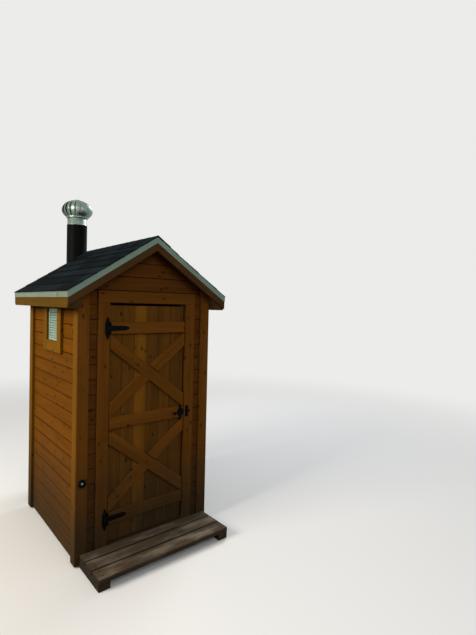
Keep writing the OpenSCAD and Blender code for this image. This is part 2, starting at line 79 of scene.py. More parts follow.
# Roof: shingle layer, one shingle, its exposure, the boards under it, and how deep the walls end below it
SHINGLE_T = 6 * MM
TAB_T = 2.6 * MM
SHINGLE_RUN = 127 * MM
DECK_T = 19 * MM
SHINGLE_DEPTH = SHINGLE_T + DECK_T + 0.3 * MM
ROOF_ANGLE = math.atan((DECK_HIGH.z - SHINGLE_LOW.z) / SHINGLE_HIGH.x)
RIDGE_Z = DECK_HIGH.z + SHINGLE_T / math.cos(ROOF_ANGLE)
# A tab and the strip above it, as shares of a course, the way that courses run, and the overlap of two caps
TAB_SHARE = 0.88
STRIP_SHARE = 0.24
ALONG_ROOF = (0, 1, 0)
CAP_LAP = 35 * MM
# Least width of a tab, how far tabs stray along the slope and sink into it, and their eased edges
LEAST_TAB = 15 * MM
TAB_STRAY = 2 * MM
TAB_SINK = 0.4 * MM
TAB_EASE = 0.5 * MM
# Black strip behind the tabs, painted shade in their slots: how far it stays in from the ends, how deep it
# lies, and its thickness
SLOT_SHADE_IN = 1 * MM
SLOT_SHADE_DEPTH = TAB_T + 0.1 * MM
SLOT_SHADE_T = 0.6 * MM
# Caps: how far they stray in width, the share of their free height that they tilt by, their eased edges,
# and how far the strip under the first cap stops short of that cap's two ends
CAP_STRAY = 4 * MM
CAP_TILT = 0.9
CAP_EASE = 0.6 * MM
STRIP_NEAR = 0.5 * MM
STRIP_FAR = 100 * MM
# Least width of a roof board
LEAST_BOARD = 10 * MM
# Lap joint of the drip edges: how far it is from the roof's front, its middle over the metal's foot, its
# height and its thickness
LAP_BACK = 210 * MM
LAP_MIDDLE = 19.5 * MM
LAP_HEIGHT = 34 * MM
LAP_T = 1.2 * MM
# Pieces of the joint: how far each lies in from the metal's face, its width and its finish
LAPS = (("drip_laps", 1.5 * MM, 30 * MM, "drip_metal"), ("drip_lap_lines", 0.9 * MM, 4 * MM, "paper"))

# Side vent: its louvre and the hole inside the louvre's rim, as near, far, sill and head
VENT_LOW, VENT_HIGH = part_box("vent_louvre")
VENT_RIM = 14 * MM
VENT_HOLE = (VENT_LOW.y + VENT_RIM, VENT_HIGH.y - VENT_RIM, VENT_LOW.z + VENT_RIM, VENT_HIGH.z - VENT_RIM)

# Door: joints between its boards, the yellower board, the width of rails and braces, and the tongues that
# close the joints
DOOR_JOINTS = [-244 * MM, -131 * MM, -15 * MM, 95 * MM, 210 * MM, 321 * MM]
PALE_BOARD = 2
RAIL_W = 94 * MM
TONGUE_HALF_W = 5 * MM
TONGUE_HALF_T = 3 * MM
TONGUE_SHORT = 1 * MM

# Ironwork: its sheet, the heights of the hinges and of the bolt, and its screws from a plate's left edge and
# from those heights
PLATE_T = 3 * MM
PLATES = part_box("hinge_plates")
HINGE_ROWS = (PLATES[0].z + 90 * MM, PLATES[1].z - 90 * MM)
BOLT_LOW, BOLT_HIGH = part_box("bolt_housing")
BOLT_ROW = ((BOLT_LOW.z + BOLT_HIGH.z) / 2,)
BOLT_W = BOLT_HIGH.x - BOLT_LOW.x
SCREWS = (
    ("hinge_plate_screws", "hinge_plates", "building", HINGE_ROWS,
     ((11.5 * MM, 32 * MM), (11.5 * MM, -32 * MM), (14.5 * MM, 58 * MM), (14.5 * MM, -58 * MM))),
    ("hinge_strap_screws", "hinge_straps", "door", HINGE_ROWS,
     ((37 * MM, 10 * MM), (37 * MM, -10 * MM), (85 * MM, 0.0), (125 * MM, 0.0))),
    ("bolt_screws", "bolt_housing", "door", BOLT_ROW,
     ((12 * MM, 30 * MM), (12 * MM, -30 * MM), (BOLT_W - 12 * MM, 30 * MM), (BOLT_W - 12 * MM, -30 * MM))),
    ("keeper_screws", "bolt_keeper", "building", BOLT_ROW, ((21 * MM, 36 * MM), (21 * MM, -36 * MM))),
)
SCREW_R = 4.2 * MM
# Outlines of the bumper's rubber and of its screw: shares of the radius, millimetres behind the outer face
BUMPER_RUBBER = ((1.0, 6.0), (0.96, 2.0), (0.88, 0.0), (0.76, 1.0), (0.70, 4.0), (0.64, 12.0), (0.0, 12.0))
BUMPER_SCREW = ((0.0, 11.8), (0.30, 11.8), (0.28, 9.5), (0.15, 8.0), (0.0, 7.5))

# Step: gaps between its boards and rows of screws, both counted from its front edge
STEP_LOW, STEP_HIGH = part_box("step_boards")
STEP_MIDDLE = (STEP_LOW.x + STEP_HIGH.x) / 2
STEP_HALF = (STEP_HIGH.x - STEP_LOW.x) / 2
STEP_GAPS = (131 * MM, 265 * MM)
STEP_SCREW_ROWS = [30 * MM, 100 * MM, 164 * MM, 232 * MM, 290 * MM, 350 * MM]
STEP_SCREW_IN = 45 * MM
# Thickness of a screw's head, and its middle over the boards
STEP_SCREW_T = 1.2 * MM
STEP_SCREW_UP = 0.2 * MM

# Vent pipe: one length of it and the least one, its wall, how far the bead of a joint stands out, and half
# the height of the bead and of its crest
PIPE_LENGTH = 610 * MM
LEAST_LENGTH = 100 * MM
PIPE_WALL = 4 * MM
BEAD = 0.8 * MM
BEAD_HALF = 4 * MM
CREST_HALF = 2 * MM
# Turbine head: angles up its meridian, vanes, foot ring, crown and hub. Ring and crown stand out past the
# ends of the vanes
VANES = 18
VANE_POINTS = 14
VANE_FOOT = math.radians(-46)
VANE_TOP = math.radians(74)
VANE_SPAN = 1.2 * math.tau / VANES
VANE_DISH = 0.11
VANE_CURVE = 1.4
VANE_T = 1.6 * MM
SHEET_T = 3 * MM
RING_H = 12 * MM
RING_W = 22 * MM
RING_OUT = 2 * MM
CROWN_H = 12 * MM
CROWN_OUT = 4 * MM
HUB_R = 14 * MM
HUB_H = 26 * MM
HUB_BORE = 6.05 * MM

# Eased edges, apart from those of the boards, which the panel gives. Thin ones are lining, roof boards and
# paper
THIN_EASE = 1 * MM
STOP_EASE = 1.5 * MM
TONGUE_EASE = 0.3 * MM
SKID_EASE = 4 * MM
STEP_EASE = 4 * MM
SUPPORT_EASE = 3 * MM
IRON_EASE = 0.6 * MM
STRAP_EASE = 0.5 * MM
COLLAR_EASE = 0.4 * MM
LOUVRE_EASE = 0.7 * MM
LAP_EASE = 0.2 * MM
# Each board's grain is taken from another place of the wood pattern, up to this many metres off
GRAIN_SHIFT = 40
# Places closer than this are the same
NEAR = 1e-5

# Stage and camera: the floor fades into the backdrop between two distances from the middle
FLOOR_SIZE = 120
FLOOR_DROP = 2 * MM
FADE_NEAR = 2.6
FADE_FAR = 9.0
BACKDROP = "#ECECEA"
WORLD_LEVEL = 0.30
LIGHT_AIM = (0, 0, 1.2)
LIGHTS = (
    ("key_softbox", (-6.3, -0.2, 4.4), 3.0, 430, "#FFF6E8"),
    ("front_softbox", (-1.0, -6.0, 4.4), 3.5, 85, "#FFFFFF"),
    ("rear_softbox", (5.0, 2.0, 6.2), 3.0, 240, "#F4F8FF"),
)
SENSOR = 36.0
PHOTO_H = 635


def linear(code):
    """Colour of an sRGB hex code in linear light."""
    channels = []
    for place in (1, 3, 5):
        value = int(code[place:place + 2], 16) / 255
        channels.append(value / 12.92 if value <= 0.04045 else ((value + 0.055) / 1.055) ** 2.4)
    return (*channels, 1.0)


def size(name, text, default):
    return bpy.props.FloatProperty(name=name, description=text, default=default, unit="LENGTH", min=0.0)


def turn(name, text, default):
    return bpy.props.FloatProperty(name=name, description=text, default=default, subtype="ANGLE")


def shade(name, text, code):
    return bpy.props.FloatVectorProperty(
        name=name, description=text, default=linear(code)[:3], subtype="COLOR", size=3, min=0.0, max=1.0)


class OuthouseSizes(bpy.types.PropertyGroup):
    siding: size("Siding", "Height that each siding board shows", 0.117)
    side_joint: size("Side joint", "Height of one joint of the side walls' boards", 1.039)
    front_joint: size("Front joint", "Height of one joint of the front and rear boards", 1.083)
    siding_t: size("Siding thickness", "Thickness of the siding boards", 0.019)
    lining_t: size("Lining thickness", "Thickness of the boards inside the walls", 0.012)
    lining_w: size("Lining width", "Width of the boards inside the walls and of the roof boards", 0.14)
    gap: size("Joint gap", "Open gap between neighbouring boards", 0.0024)
    ease: size("Eased edge", "Bevel along the edges of sawn boards", 0.0022)
    groove: size("Grooved edge", "Bevel along the edges of grooved boards", 0.0036)
    tab_w: size("Shingle tab", "Width of a shingle tab with its slot", 0.305)
    slot_w: size("Shingle slot", "Width of the slot between two tabs", 0.008)
    cap_run: size("Cap exposure", "Length that each cap shingle shows along the ridge", 0.14)
    roof_angle: turn("Roof slope", "Slope of the roof", ROOF_ANGLE)


class OuthouseColours(bpy.types.PropertyGroup):
    # All siding carries one stain: the side boards' lighter, yellower colour is painted light, the front and
    # rear boards' darker, redder colour is painted shade
    side_stain_painted_lit: shade("Side boards", "Honey stain of the side walls", "#72440A")
    front_stain_painted_shade: shade("Front boards", "Redder stain of the front and rear boards", "#663C17")
    # The trim carries one stain: the side trim's yellower colour is that stain with painted light, on the
    # boards that face the sides
    trim_stain: shade("Trim", "Stain of corner boards, casings, rails and braces", "#754818")
    side_trim_painted_lit: shade("Side trim", "Yellower stain of the trim on the side walls", "#785213")
    door_stain: shade("Door boards", "Olive brown stain of the door's boards", "#6E471B")
    pale_door: shade("Pale door board", "The one yellower board of the door", "#88581B")
    fascia_stain: shade("Fascias", "Yellower stain of the fascias", "#604610")
    # The rakes' and soffits' darker, greyer colour is the trim stain in painted shade under the overhang
    rake_stain_painted_shade: shade("Rakes", "Greyed stain of rake boards and soffits", "#533A21")
    bare_wood: shade("Bare wood", "Unfinished boards inside", "#A07A4A")
    step_wood: shade("Step", "Weathered boards of the step", "#423A2E")
    treated_wood: shade("Treated wood", "Green tinted wood of the skids", "#4E4A30")
    # The same black also lies under the shingles' tabs, as painted shade in their slots
    paper: shade("Tar paper and painted slot shade", "Black paper behind the siding and under the shingles", "#060606")
    shingle: shade("Shingles", "Blue black mineral granules", "#0F1619")
    drip_metal: shade("Drip edge", "Pale grey green painted metal", "#76907F")
    pipe_black: shade("Pipe", "Black enamelled pipe", "#060807")
    zinc: shade("Galvanised sheet", "Zinc of the collar and the turbine head", "#84958A")
    iron: shade("Ironwork", "Black finish of hinges and bolt", "#050607")
    rubber: shade("Rubber", "Black rubber of the door bumper", "#070707")
    # The louvre is off-white; its green grey colour here is painted green shade
    vent: shade("Vent", "Off-white moulded louvre", "#98B0A0")


class OuthouseView(bpy.types.PropertyGroup):
    place: bpy.props.FloatVectorProperty(
        name="Camera", description="Place of the camera", default=(-1.744, -3.823, 2.035),
        subtype="TRANSLATION", unit="LENGTH")
    yaw: turn("Yaw", "Direction of view, turned from +Y to +X", math.radians(40.56))
    dip: turn("Dip", "How far the view looks down", math.radians(1.55))
    roll: turn("Roll", "Roll of the camera", math.radians(1.42))
    focal: bpy.props.FloatProperty(
        name="Focal length", description="Focal length in pixels of the photograph's height", default=420.1)


def sizes():
    return bpy.context.scene.outhouse_sizes


def colour(name):
    return (*getattr(bpy.context.scene.outhouse_colours, name), 1.0)


def slope():
    return math.tan(sizes().roof_angle)


def roof_z(x, depth=0.0):
    """Height of the plane that lies depth under the shingles' top planes, measured square to the slope."""
    return RIDGE_Z - abs(x) * slope() - depth / math.cos(sizes().roof_angle)


# Materials


def add_node(tree, kind, inputs=None, output=0, **settings):
    """Adds a node, links the inputs that are sockets, sets the others and returns one of its outputs."""
    node = tree.nodes.new("ShaderNode" + kind)
    for key, value in settings.items():
        setattr(node, key, value)
    for key, value in (inputs or {}).items():
        if isinstance(value, bpy.types.NodeSocket):
            tree.links.new(value, node.inputs[key])
        else:
            node.inputs[key].default_value = value
    return node.outputs[output] if node.outputs else node


def new_material(name):
    made = bpy.data.materials.new(name)
    made.use_nodes = True
    made.node_tree.nodes.clear()
    return made, made.node_tree


def tint(base, factor):
    """A fixed colour made darker or lighter."""
    return (*[min(1.0, channel * factor) for channel in base[:3]], 1.0)


def patterns(tree, vector, scales):
    """Noises over one vector: for each name its repeats in a metre along each axis, a detail, a roughness
    and a distortion."""
    made = {}
    for name, (scale, detail, rough, bend) in scales.items():
        place = add_node(tree, "Mapping", {"Vector": vector, "Scale": scale})
        made[name] = add_node(tree, "TexNoise", {
            "Vector": place, "Scale": 1.0, "Detail": detail, "Roughness": rough, "Distortion": bend}, "Fac")
    return made


def layered(tree, tones, layers):
    """Lays colours over a first one, each where a pattern runs from a low to a high value."""
    for value, low, high, amount, over in layers:
        mask = add_node(tree, "MapRange", {
            "Value": value, "From Min": low, "From Max": high, "To Max": amount}, "Result",
            interpolation_type="SMOOTHSTEP")
        tones = add_node(tree, "Mix", {0: mask, 6: tones, 7: over}, 2, data_type="RGBA")
    return tones


def surface(tree, tones, gloss, height=None, depth=0.0, strength=0.5, **fixed):
    """Ends a material: its colours, a pattern that varies its roughness, a fine relief and fixed values."""
    value, low, high, smooth, rough = gloss
    sheen = add_node(tree, "MapRange", {
        "Value": value, "From Min": low, "From Max": high, "To Min": smooth, "To Max": rough}, "Result")
    inputs = {"Base Color": tones, "Roughness": sheen}
    if height:
        inputs["Normal"] = add_node(tree, "Bump", {"Height": height, "Distance": depth, "Strength": strength})
    inputs.update({key.replace("_", " "): value for key, value in fixed.items()})
    shader = add_node(tree, "BsdfPrincipled", inputs)
    add_node(tree, "OutputMaterial", {"Surface": shader})


def wood(name, base, gloss=0.75, contrast=0.8, knots=1.0, foot_dirt_and_shade=0.0, joint=None):
    """Boards of spruce under a stain: broad heartwood bands, fine dark latewood lines along the grain, oval
    knots, and each board a little lighter or darker. The stain's thin film gives a soft, uneven sheen."""
    made, tree = new_material(name)
    grain = add_node(tree, "Attribute", output="Vector", attribute_name="grain")
    tone = add_node(tree, "Attribute", output="Fac", attribute_name="tone")
    # Heartwood bands are some 80 mm wide, and latewood lines 3 to 8 mm apart
    found = patterns(tree, grain, {
        "broad": ((0.8, 13.0, 13.0), 3.0, 0.55, 0.6), "lines": ((1.6, 120.0, 120.0), 4.0, 0.6, 0.3),
        "cloud": ((3.0, 5.0, 5.0), 3.0, 0.6, 0.0)})
    rings = add_node(tree, "TexWave", {
        "Vector": add_node(tree, "Mapping", {"Vector": grain, "Scale": (0.5, 15.0, 15.0)}), "Scale": 1.0,
        "Distortion": 8.0, "Detail": 2.0, "Detail Scale": 0.7}, "Fac", wave_type="RINGS", rings_direction="X")
    # Knots are 10 to 20 mm across, a few on each metre of board
    knot = add_node(tree, "TexVoronoi", {
        "Vector": add_node(tree, "Mapping", {"Vector": grain, "Scale": (8.0, 14.0, 14.0)}), "Scale": 1.0,
        "Randomness": 1.0}, "Distance")
    tones = layered(tree, tint(base, 1.0 + 0.16 * contrast), (
        (found["broad"], 0.34, 0.68, 1.0, tint(base, 1.0 - 0.16 * contrast)),
        (found["cloud"], 0.45, 0.75, 0.35 * contrast, tint(base, 0.62)),
        (found["lines"], 0.50, 0.76, 0.42 * contrast, tint(base, 0.50)),
        (rings, 0.60, 1.00, 0.22 * contrast, tint(base, 0.55)),
        (knot, 0.30, 0.10, 0.30 * knots, tint(base, 0.50)),
        (knot, 0.14, 0.09, 0.85 * knots, tint(base, 0.16)),
        (tone, 0.0, 1.0, 0.20 * contrast, tint(base, 0.35))))
    here = add_node(tree, "TexCoord", output="Object")
    if joint:
        # Stain gathers for some 4 mm either way from the joint between two siding boards
        rise = add_node(tree, "SeparateXYZ", {"Vector": here}, "Z")
        near = add_node(tree, "Math", {0: rise, 1: joint[0] + sizes().siding / 2}, operation="SUBTRACT")
        near = add_node(tree, "Math", {0: near, 1: sizes().siding}, operation="FLOORED_MODULO")
        near = add_node(tree, "Math", {0: near, 1: sizes().siding / 2}, operation="SUBTRACT")
        near = add_node(tree, "Math", {0: near}, operation="ABSOLUTE")
        tones = layered(tree, tones, ((near, 6.5 * MM, 2 * MM, joint[1], tint(base, 0.12)),))
    if foot_dirt_and_shade:
        # Darker towards the foot over the lowest metre: partly soil and algae, partly painted shade near the
        # ground
        foot_noise = patterns(tree, here, {"foot_pattern": ((4.0, 4.0, 2.0), 3.0, 0.6, 0.0)})["foot_pattern"]
        height = add_node(tree, "SeparateXYZ", {"Vector": here}, "Z")
        edge = add_node(tree, "Math", {0: foot_noise, 1: -0.6, 2: height}, operation="MULTIPLY_ADD")
        tones = layered(tree, tones, ((edge, 0.75, -0.35, foot_dirt_and_shade, linear("#222820")),))
    surface(tree, tones, (found["lines"], 0.3, 0.8, gloss - 0.05, gloss + 0.12), found["lines"],
            depth=0.6 * MM, strength=0.35, Specular_IOR_Level=0.04, Specular_Tint=linear("#FFC070"))
    return made


def weathered_wood(name, base, gaps=()):
    """Untreated planks in the open: silver grey over brown, with dark checks along the grain, paler where
    feet wear the middle of each board. Painted shade darkens the sides and the end grain, and soil with
    painted shade darkens the gaps. Matte."""
    made, tree = new_material(name)
    grain = add_node(tree, "Attribute", output="Vector", attribute_name="grain")
    tone = add_node(tree, "Attribute", output="Fac", attribute_name="tone")
    here = add_node(tree, "TexCoord", output="Object")
    found = patterns(tree, grain, {
        "broad": ((1.3, 12.0, 12.0), 4.0, 0.6, 0.5), "lines": ((2.0, 140.0, 140.0), 5.0, 0.65, 0.5)})
    worn = patterns(tree, here, {"worn": ((2.5, 7.0, 7.0), 3.0, 0.6, 0.0)})["worn"]
    tones = layered(tree, tint(base, 1.1), (
        (found["broad"], 0.3, 0.7, 1.0, linear("#564634")),
        (worn, 0.48, 0.72, 0.6, linear("#8E8474")),
        (found["lines"], 0.50, 0.72, 0.7, tint(base, 0.3)),
        (tone, 0.0, 1.0, 0.25, tint(base, 0.4))))
    # Painted shade on the sides and on the end grain, and soil with painted shade in the gaps, each by the
    # distance from a middle along an axis
    for axis, middle, low, high, amount, over in (
            ("Z", 0.0, STEP_HIGH.z - 3 * MM, STEP_HIGH.z - 12 * MM, 0.6, linear("#2E2216")),
            ("X", STEP_MIDDLE, STEP_HALF - 5 * MM, STEP_HALF - 1 * MM, 0.6, tint(base, 0.3)),
            *[("Y", STEP_LOW.y + gap, 11 * MM, 4 * MM, 0.9, tint(base, 0.08)) for gap in gaps]):
        place = add_node(tree, "SeparateXYZ", {"Vector": here}, axis)
        away = add_node(tree, "Math", {0: place, 1: middle}, operation="SUBTRACT")
        away = add_node(tree, "Math", {0: away}, operation="ABSOLUTE")
        tones = layered(tree, tones, ((away, low, high, amount, over),))
    surface(tree, tones, (found["lines"], 0.3, 0.8, 0.72, 0.92), found["lines"], depth=1.2 * MM,
            Specular_IOR_Level=0.08)
    return made


def asphalt(name, base):
    """Asphalt shingle with pressed mineral granules: rough blue black with paler specks, each tab of its own
    shade, and a painted shadow line along each butt. Granules of 1.5 mm are drawn 4 mm wide, so that they
    show."""
    made, tree = new_material(name)
    here = add_node(tree, "TexCoord", output="Object")
    tone = add_node(tree, "Attribute", output="Fac", attribute_name="tone")
    found = patterns(tree, here, {
        "specks": ((240.0, 240.0, 240.0), 2.0, 0.7, 0.0), "patch": ((9.0, 9.0, 9.0), 3.0, 0.6, 0.0)})
    # Share of a course's exposure above its butt, counted from the eave
    across = add_node(tree, "SeparateXYZ", {"Vector": here}, "X")
    across = add_node(tree, "Math", {0: across}, operation="ABSOLUTE")
    pitch = SHINGLE_RUN * math.cos(sizes().roof_angle)
    course = add_node(tree, "Math", {0: across, 1: -1.0 / pitch, 2: SHINGLE_HIGH.x / pitch},
                      operation="MULTIPLY_ADD")
    share = add_node(tree, "Math", {0: course}, operation="FRACT")
    tones = layered(tree, tint(base, 1.8), (
        (tone, 0.0, 1.0, 0.95, tint(base, 0.28)),
        (found["patch"], 0.35, 0.70, 0.5, tint(base, 0.7)),
        (found["specks"], 0.55, 0.74, 0.7, linear("#263036")),
        (found["specks"], 0.42, 0.28, 0.8, tint(base, 0.3)),
        # Painted shadow: a dark band along the foot of each tab, and a fainter one just under the butts of
        # the course above
        (share, 0.18, 0.02, 0.85, tint(base, 0.15)),
        (share, 0.90, 0.99, 0.55, tint(base, 0.2))))
    surface(tree, tones, (found["specks"], 0.3, 0.7, 0.82, 0.95), found["specks"], depth=1.5 * MM,
            strength=0.8, Specular_IOR_Level=0.015)
    return made


def sheet_metal(name, base, metallic, smooth, rough, spangle=0.0, eave=0.0):
    """Sheet steel under paint or zinc. Paint is even and semi-gloss with faint rain streaks, and on the
    eaves' outer faces yellowed by painted warm light. Zinc shows spangles some 12 mm across under a dull
    film."""
    made, tree = new_material(name)
    here = add_node(tree, "TexCoord", output="Object")
    soil = patterns(tree, here, {"soil": ((6.0, 6.0, 24.0), 4.0, 0.65, 0.0)})["soil"]
    layers = [(soil, 0.45, 0.80, 0.5, tint(base, 0.55))]
    if spangle:
        cells = add_node(tree, "TexVoronoi", {"Vector": here, "Scale": 80.0}, "Color")
        flake = add_node(tree, "SeparateColor", {"Color": cells}, "Red")
        layers.insert(0, (flake, 0.0, 1.0, spangle, tint(base, 0.6)))
    if eave:
        # Painted warm light: a darker, yellower band on the outer face of the eave's metal
        away = add_node(tree, "SeparateXYZ", {"Vector": here}, "X")
        away = add_node(tree, "Math", {0: away}, operation="ABSOLUTE")
        layers.append((away, eave - 6 * MM, eave - 4 * MM, 0.55, linear("#5C5A30")))
    surface(tree, layered(tree, base, layers), (soil, 0.3, 0.8, smooth, rough), Metallic=metallic)
    return made


def plain_finish(name, base, smooth, rough, scale, depth=0.0, level=0.5):
    """A painted, papery or rubber surface: one colour with a slight mottle, a gloss that varies by place and
    a fine relief where the finish has one."""
    made, tree = new_material(name)
    here = add_node(tree, "TexCoord", output="Object")
    spots = patterns(tree, here, {"spots": ((scale, scale, scale), 3.0, 0.6, 0.0)})["spots"]
    tones = layered(tree, tint(base, 0.75), ((spots, 0.3, 0.75, 1.0, tint(base, 1.25)),))
    surface(tree, tones, (spots, 0.3, 0.75, smooth, rough), spots if depth else None, depth,
            Specular_IOR_Level=level)
    return made


def moulded(name, base):
    """Injection moulded plastic, off-white and satin, with painted shade that deepens towards the inside of
    the louvre and leaves its outer edges clean."""
    made, tree = new_material(name)
    here = add_node(tree, "TexCoord", output="Object")
    spots = patterns(tree, here, {"dust": ((22.0, 22.0, 22.0), 3.0, 0.6, 0.0)})["dust"]
    inward = add_node(tree, "SeparateXYZ", {"Vector": here}, "X")
    tones = layered(tree, tint(base, 1.12), (
        (spots, 0.3, 0.75, 1.0, base),
        # Painted shade: darker the deeper a place lies inside the louvre
        (inward, VENT_LOW.x + 10 * MM, VENT_LOW.x + 30 * MM, 0.85, tint(base, 0.22))))
    surface(tree, tones, (spots, 0.3, 0.75, 0.42, 0.56), Specular_IOR_Level=0.3)
    return made


MATERIALS = {
    # One siding stain in two copies: painted light on the side walls, painted shade on the front and rear
    # walls
    "side_stain_painted_lit": lambda: wood("Siding stain in painted light", colour("side_stain_painted_lit"), foot_dirt_and_shade=0.68,
                               joint=(sizes().side_joint, 0.7)),
    "front_stain_painted_shade": lambda: wood("Siding stain in painted shade", colour("front_stain_painted_shade"), contrast=0.9,
                                foot_dirt_and_shade=0.8, joint=(sizes().front_joint, 0.45)),
    "trim_stain": lambda: wood("Cedar stain on sawn trim", colour("trim_stain"), knots=0.9, foot_dirt_and_shade=0.8),
    # Trim stain with painted light, for the boards that face the sides
    "side_trim_painted_lit": lambda: wood("Trim stain in painted light", colour("side_trim_painted_lit"), knots=0.9, foot_dirt_and_shade=0.8),
    "door_stain": lambda: wood("Cedar stain on door boards", colour("door_stain"), contrast=1.0,
                               foot_dirt_and_shade=0.75),
    "pale_door": lambda: wood("Yellow stain on a door board", colour("pale_door"), contrast=1.0,
                              foot_dirt_and_shade=0.85),
    "fascia_stain": lambda: wood("Honey stain on sawn fascias", colour("fascia_stain"), knots=0.9),
    # Trim stain in painted shade, for rake boards and soffits
    "rake_stain_painted_shade": lambda: wood("Greyed stain on rake boards", colour("rake_stain_painted_shade"), gloss=0.6, contrast=0.9,
                               knots=0.9),
    "bare_wood": lambda: wood("Unfinished spruce", colour("bare_wood"), gloss=0.66, contrast=0.6),
    "treated_wood": lambda: wood("Pressure treated timber", colour("treated_wood"), gloss=0.7, knots=0.8,
                                 foot_dirt_and_shade=0.5),
    "step_wood": lambda: weathered_wood("Weathered step planks", colour("step_wood"), STEP_GAPS),
    "step_timber": lambda: weathered_wood("Weathered step timbers", colour("step_wood")),
    "shingle": lambda: asphalt("Asphalt shingle granules", colour("shingle")),
    # Tar paper is matte with a faint crumple some 25 mm wide
    "paper": lambda: plain_finish("Tar paper and painted slot shade", colour("paper"), 0.8, 0.95, 40.0, depth=0.4 * MM, level=0.1),
    "drip_metal": lambda: sheet_metal("Coil coated drip edge", colour("drip_metal"), 0.0, 0.38, 0.58,
                                      eave=-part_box("drip_edge_left")[0].x),
    "zinc": lambda: sheet_metal("Galvanised sheet", colour("zinc"), 1.0, 0.34, 0.50, spangle=0.6),
    # Enamel dulled by weather keeps one broad, soft streak
    "pipe_black": lambda: plain_finish("Black enamel", colour("pipe_black"), 0.46, 0.58, 16.0, level=0.03),
    # Powder coat over iron is satin, with a faint orange peel of 3 mm
    "iron": lambda: plain_finish("Black powder coated iron", colour("iron"), 0.36, 0.48, 300.0,
                                 depth=0.3 * MM, level=0.035),
    # Moulded rubber is dull, with the fine roughness of its mould
    "rubber": lambda: plain_finish("Moulded black rubber", colour("rubber"), 0.5, 0.66, 90.0,
                                   depth=0.3 * MM, level=0.05),
    "vent": lambda: moulded("Off-white moulded plastic with painted shade", colour("vent")),
}
made_materials = {}


def material(key):
    if key not in made_materials:
        made_materials[key] = MATERIALS[key]()
    return made_materials[key]


# Modelling helpers


def deselect():
    if bpy.context.object and bpy.context.object.mode != "OBJECT":
        bpy.ops.object.mode_set(mode="OBJECT")
    bpy.ops.object.select_all(action="DESELECT")


def only(piece):
    deselect()
    piece.select_set(True)
    bpy.context.view_layer.objects.active = piece


def new_piece(name):
    """Empty mesh object at the origin, left in edit mode."""
    deselect()
    bpy.ops.object.add(type="MESH", location=(0, 0, 0))
    piece = bpy.context.object
    piece.name = piece.data.name = name
    bpy.ops.object.mode_set(mode="EDIT")
    return piece


def apply_modifier(piece, kind, **settings):
    only(piece)
    modifier = piece.modifiers.new(kind.title(), kind)
    for key, value in settings.items():
        setattr(modifier, key, value)
    bpy.ops.object.modifier_apply(modifier=modifier.name)


def bevel(piece, width, angle=25, segments=2):
    """Eases the edges that are sharper than an angle in degrees."""
    apply_modifier(piece, "BEVEL", width=width, segments=segments, limit_method="ANGLE",
                   angle_limit=math.radians(angle), use_clamp_overlap=True)


def seat(piece, body, key, slot, *nodes):
    """Gives a finished piece its material, parents it to the body that it rides on and hides the nodes that
    it stands for.
    """
    piece.data.materials.clear()
    piece.data.materials.append(material(key))
    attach(piece, body)
    if nodes:
        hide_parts(*nodes)


def along_longest(span):
    """Unit vector along the longest side of a box."""
    longest = max(range(3), key=lambda axis: span[axis])
    return Vector([float(axis == longest) for axis in range(3)])


class Boardwork:
    """Boards in one mesh. Each keeps its number, so that the grain can follow it."""

    def __init__(self, name, piece=None):
        self.piece = piece or new_piece(name)
        self.grains = []
        self.chance = random.Random(name)

    def numbers(self):
        """The mesh in edit mode and its layer of board numbers."""
        mesh = bmesh.from_edit_mesh(self.piece.data)
        return mesh, mesh.verts.layers.float.get("board") or mesh.verts.layers.float.new("board")

    def select(self, test):
        """Selects the points whose place and board number pass the test."""
        mesh, layer = self.numbers()
        for part in (*mesh.faces, *mesh.edges):
            part.select_set(False)
        for vert in mesh.verts:
            vert.select_set(test(vert.co, round(vert[layer])))
        mesh.select_flush(True)
        bmesh.update_edit_mesh(self.piece.data)

    def box(self, low, high, lean=0.0, grain=None):
        """Adds a board between two corners; lean lifts its far X end, so that it runs along a slope."""
        low, high = Vector(low), Vector(high)
        span = high - low
        bpy.ops.mesh.select_all(action="DESELECT")
        bpy.ops.mesh.primitive_cube_add(size=1, location=(low + high) / 2, scale=span)
        if grain is None:
            grain = Vector((span.x, 0.0, lean)) if lean else along_longest(span)
        number = len(self.grains)
        self.grains.append(Vector(grain).normalized())
        mesh, layer = self.numbers()
        for vert in mesh.verts:
            if vert.select:
                vert[layer] = number
        bmesh.update_edit_mesh(self.piece.data)
        if lean:
            self.select(lambda place, board: board == number and abs(place.x - high.x) < NEAR)
            bpy.ops.transform.translate(value=(0, 0, lean))
        return number

    def cut(self, point, normal, boards=None):
        """Cuts away what lies beyond a plane, from all boards or from the numbered ones."""
        self.select(lambda place, board: boards is None or board in boards)
        bpy.ops.mesh.bisect(plane_co=point, plane_no=normal, use_fill=True, clear_outer=True)
        # A filled cut takes the number of the board that it closes
        mesh, layer = self.numbers()
        for vert in mesh.verts:
            vert[layer] = round(vert[layer])
        bmesh.update_edit_mesh(self.piece.data)

    def done(self, ease, segments=2):
        """Eases the edges and writes each point's place along and across its own board's grain."""
        bpy.ops.object.mode_set(mode="OBJECT")
        bevel(self.piece, ease, segments=segments)
        mesh = self.piece.data
        numbers = [round(item.value) for item in mesh.attributes["board"].data]
        frames = []
        for along in self.grains:
            side = along.cross(Vector((0, 0, 1)) if abs(along.z) < 0.7 else Vector((0, 1, 0))).normalized()
            shift = Vector([self.chance.uniform(-GRAIN_SHIFT, GRAIN_SHIFT) for _ in range(3)])
            frames.append((Matrix((along, side, along.cross(side))), shift, self.chance.random()))
        places, tones = [], []
        for vert, number in zip(mesh.vertices, numbers):
            turned, shift, tone = frames[number]
            places.extend(turned @ vert.co + shift)
            tones.append(tone)
        mesh.attributes.remove(mesh.attributes["board"])
        for name, kind, key, values in (("grain", "FLOAT_VECTOR", "vector", places),
                                        ("tone", "FLOAT", "value", tones)):
            mesh.attributes.new(name, kind, "POINT")
            mesh.attributes[name].data.foreach_set(key, values)
        return self.piece


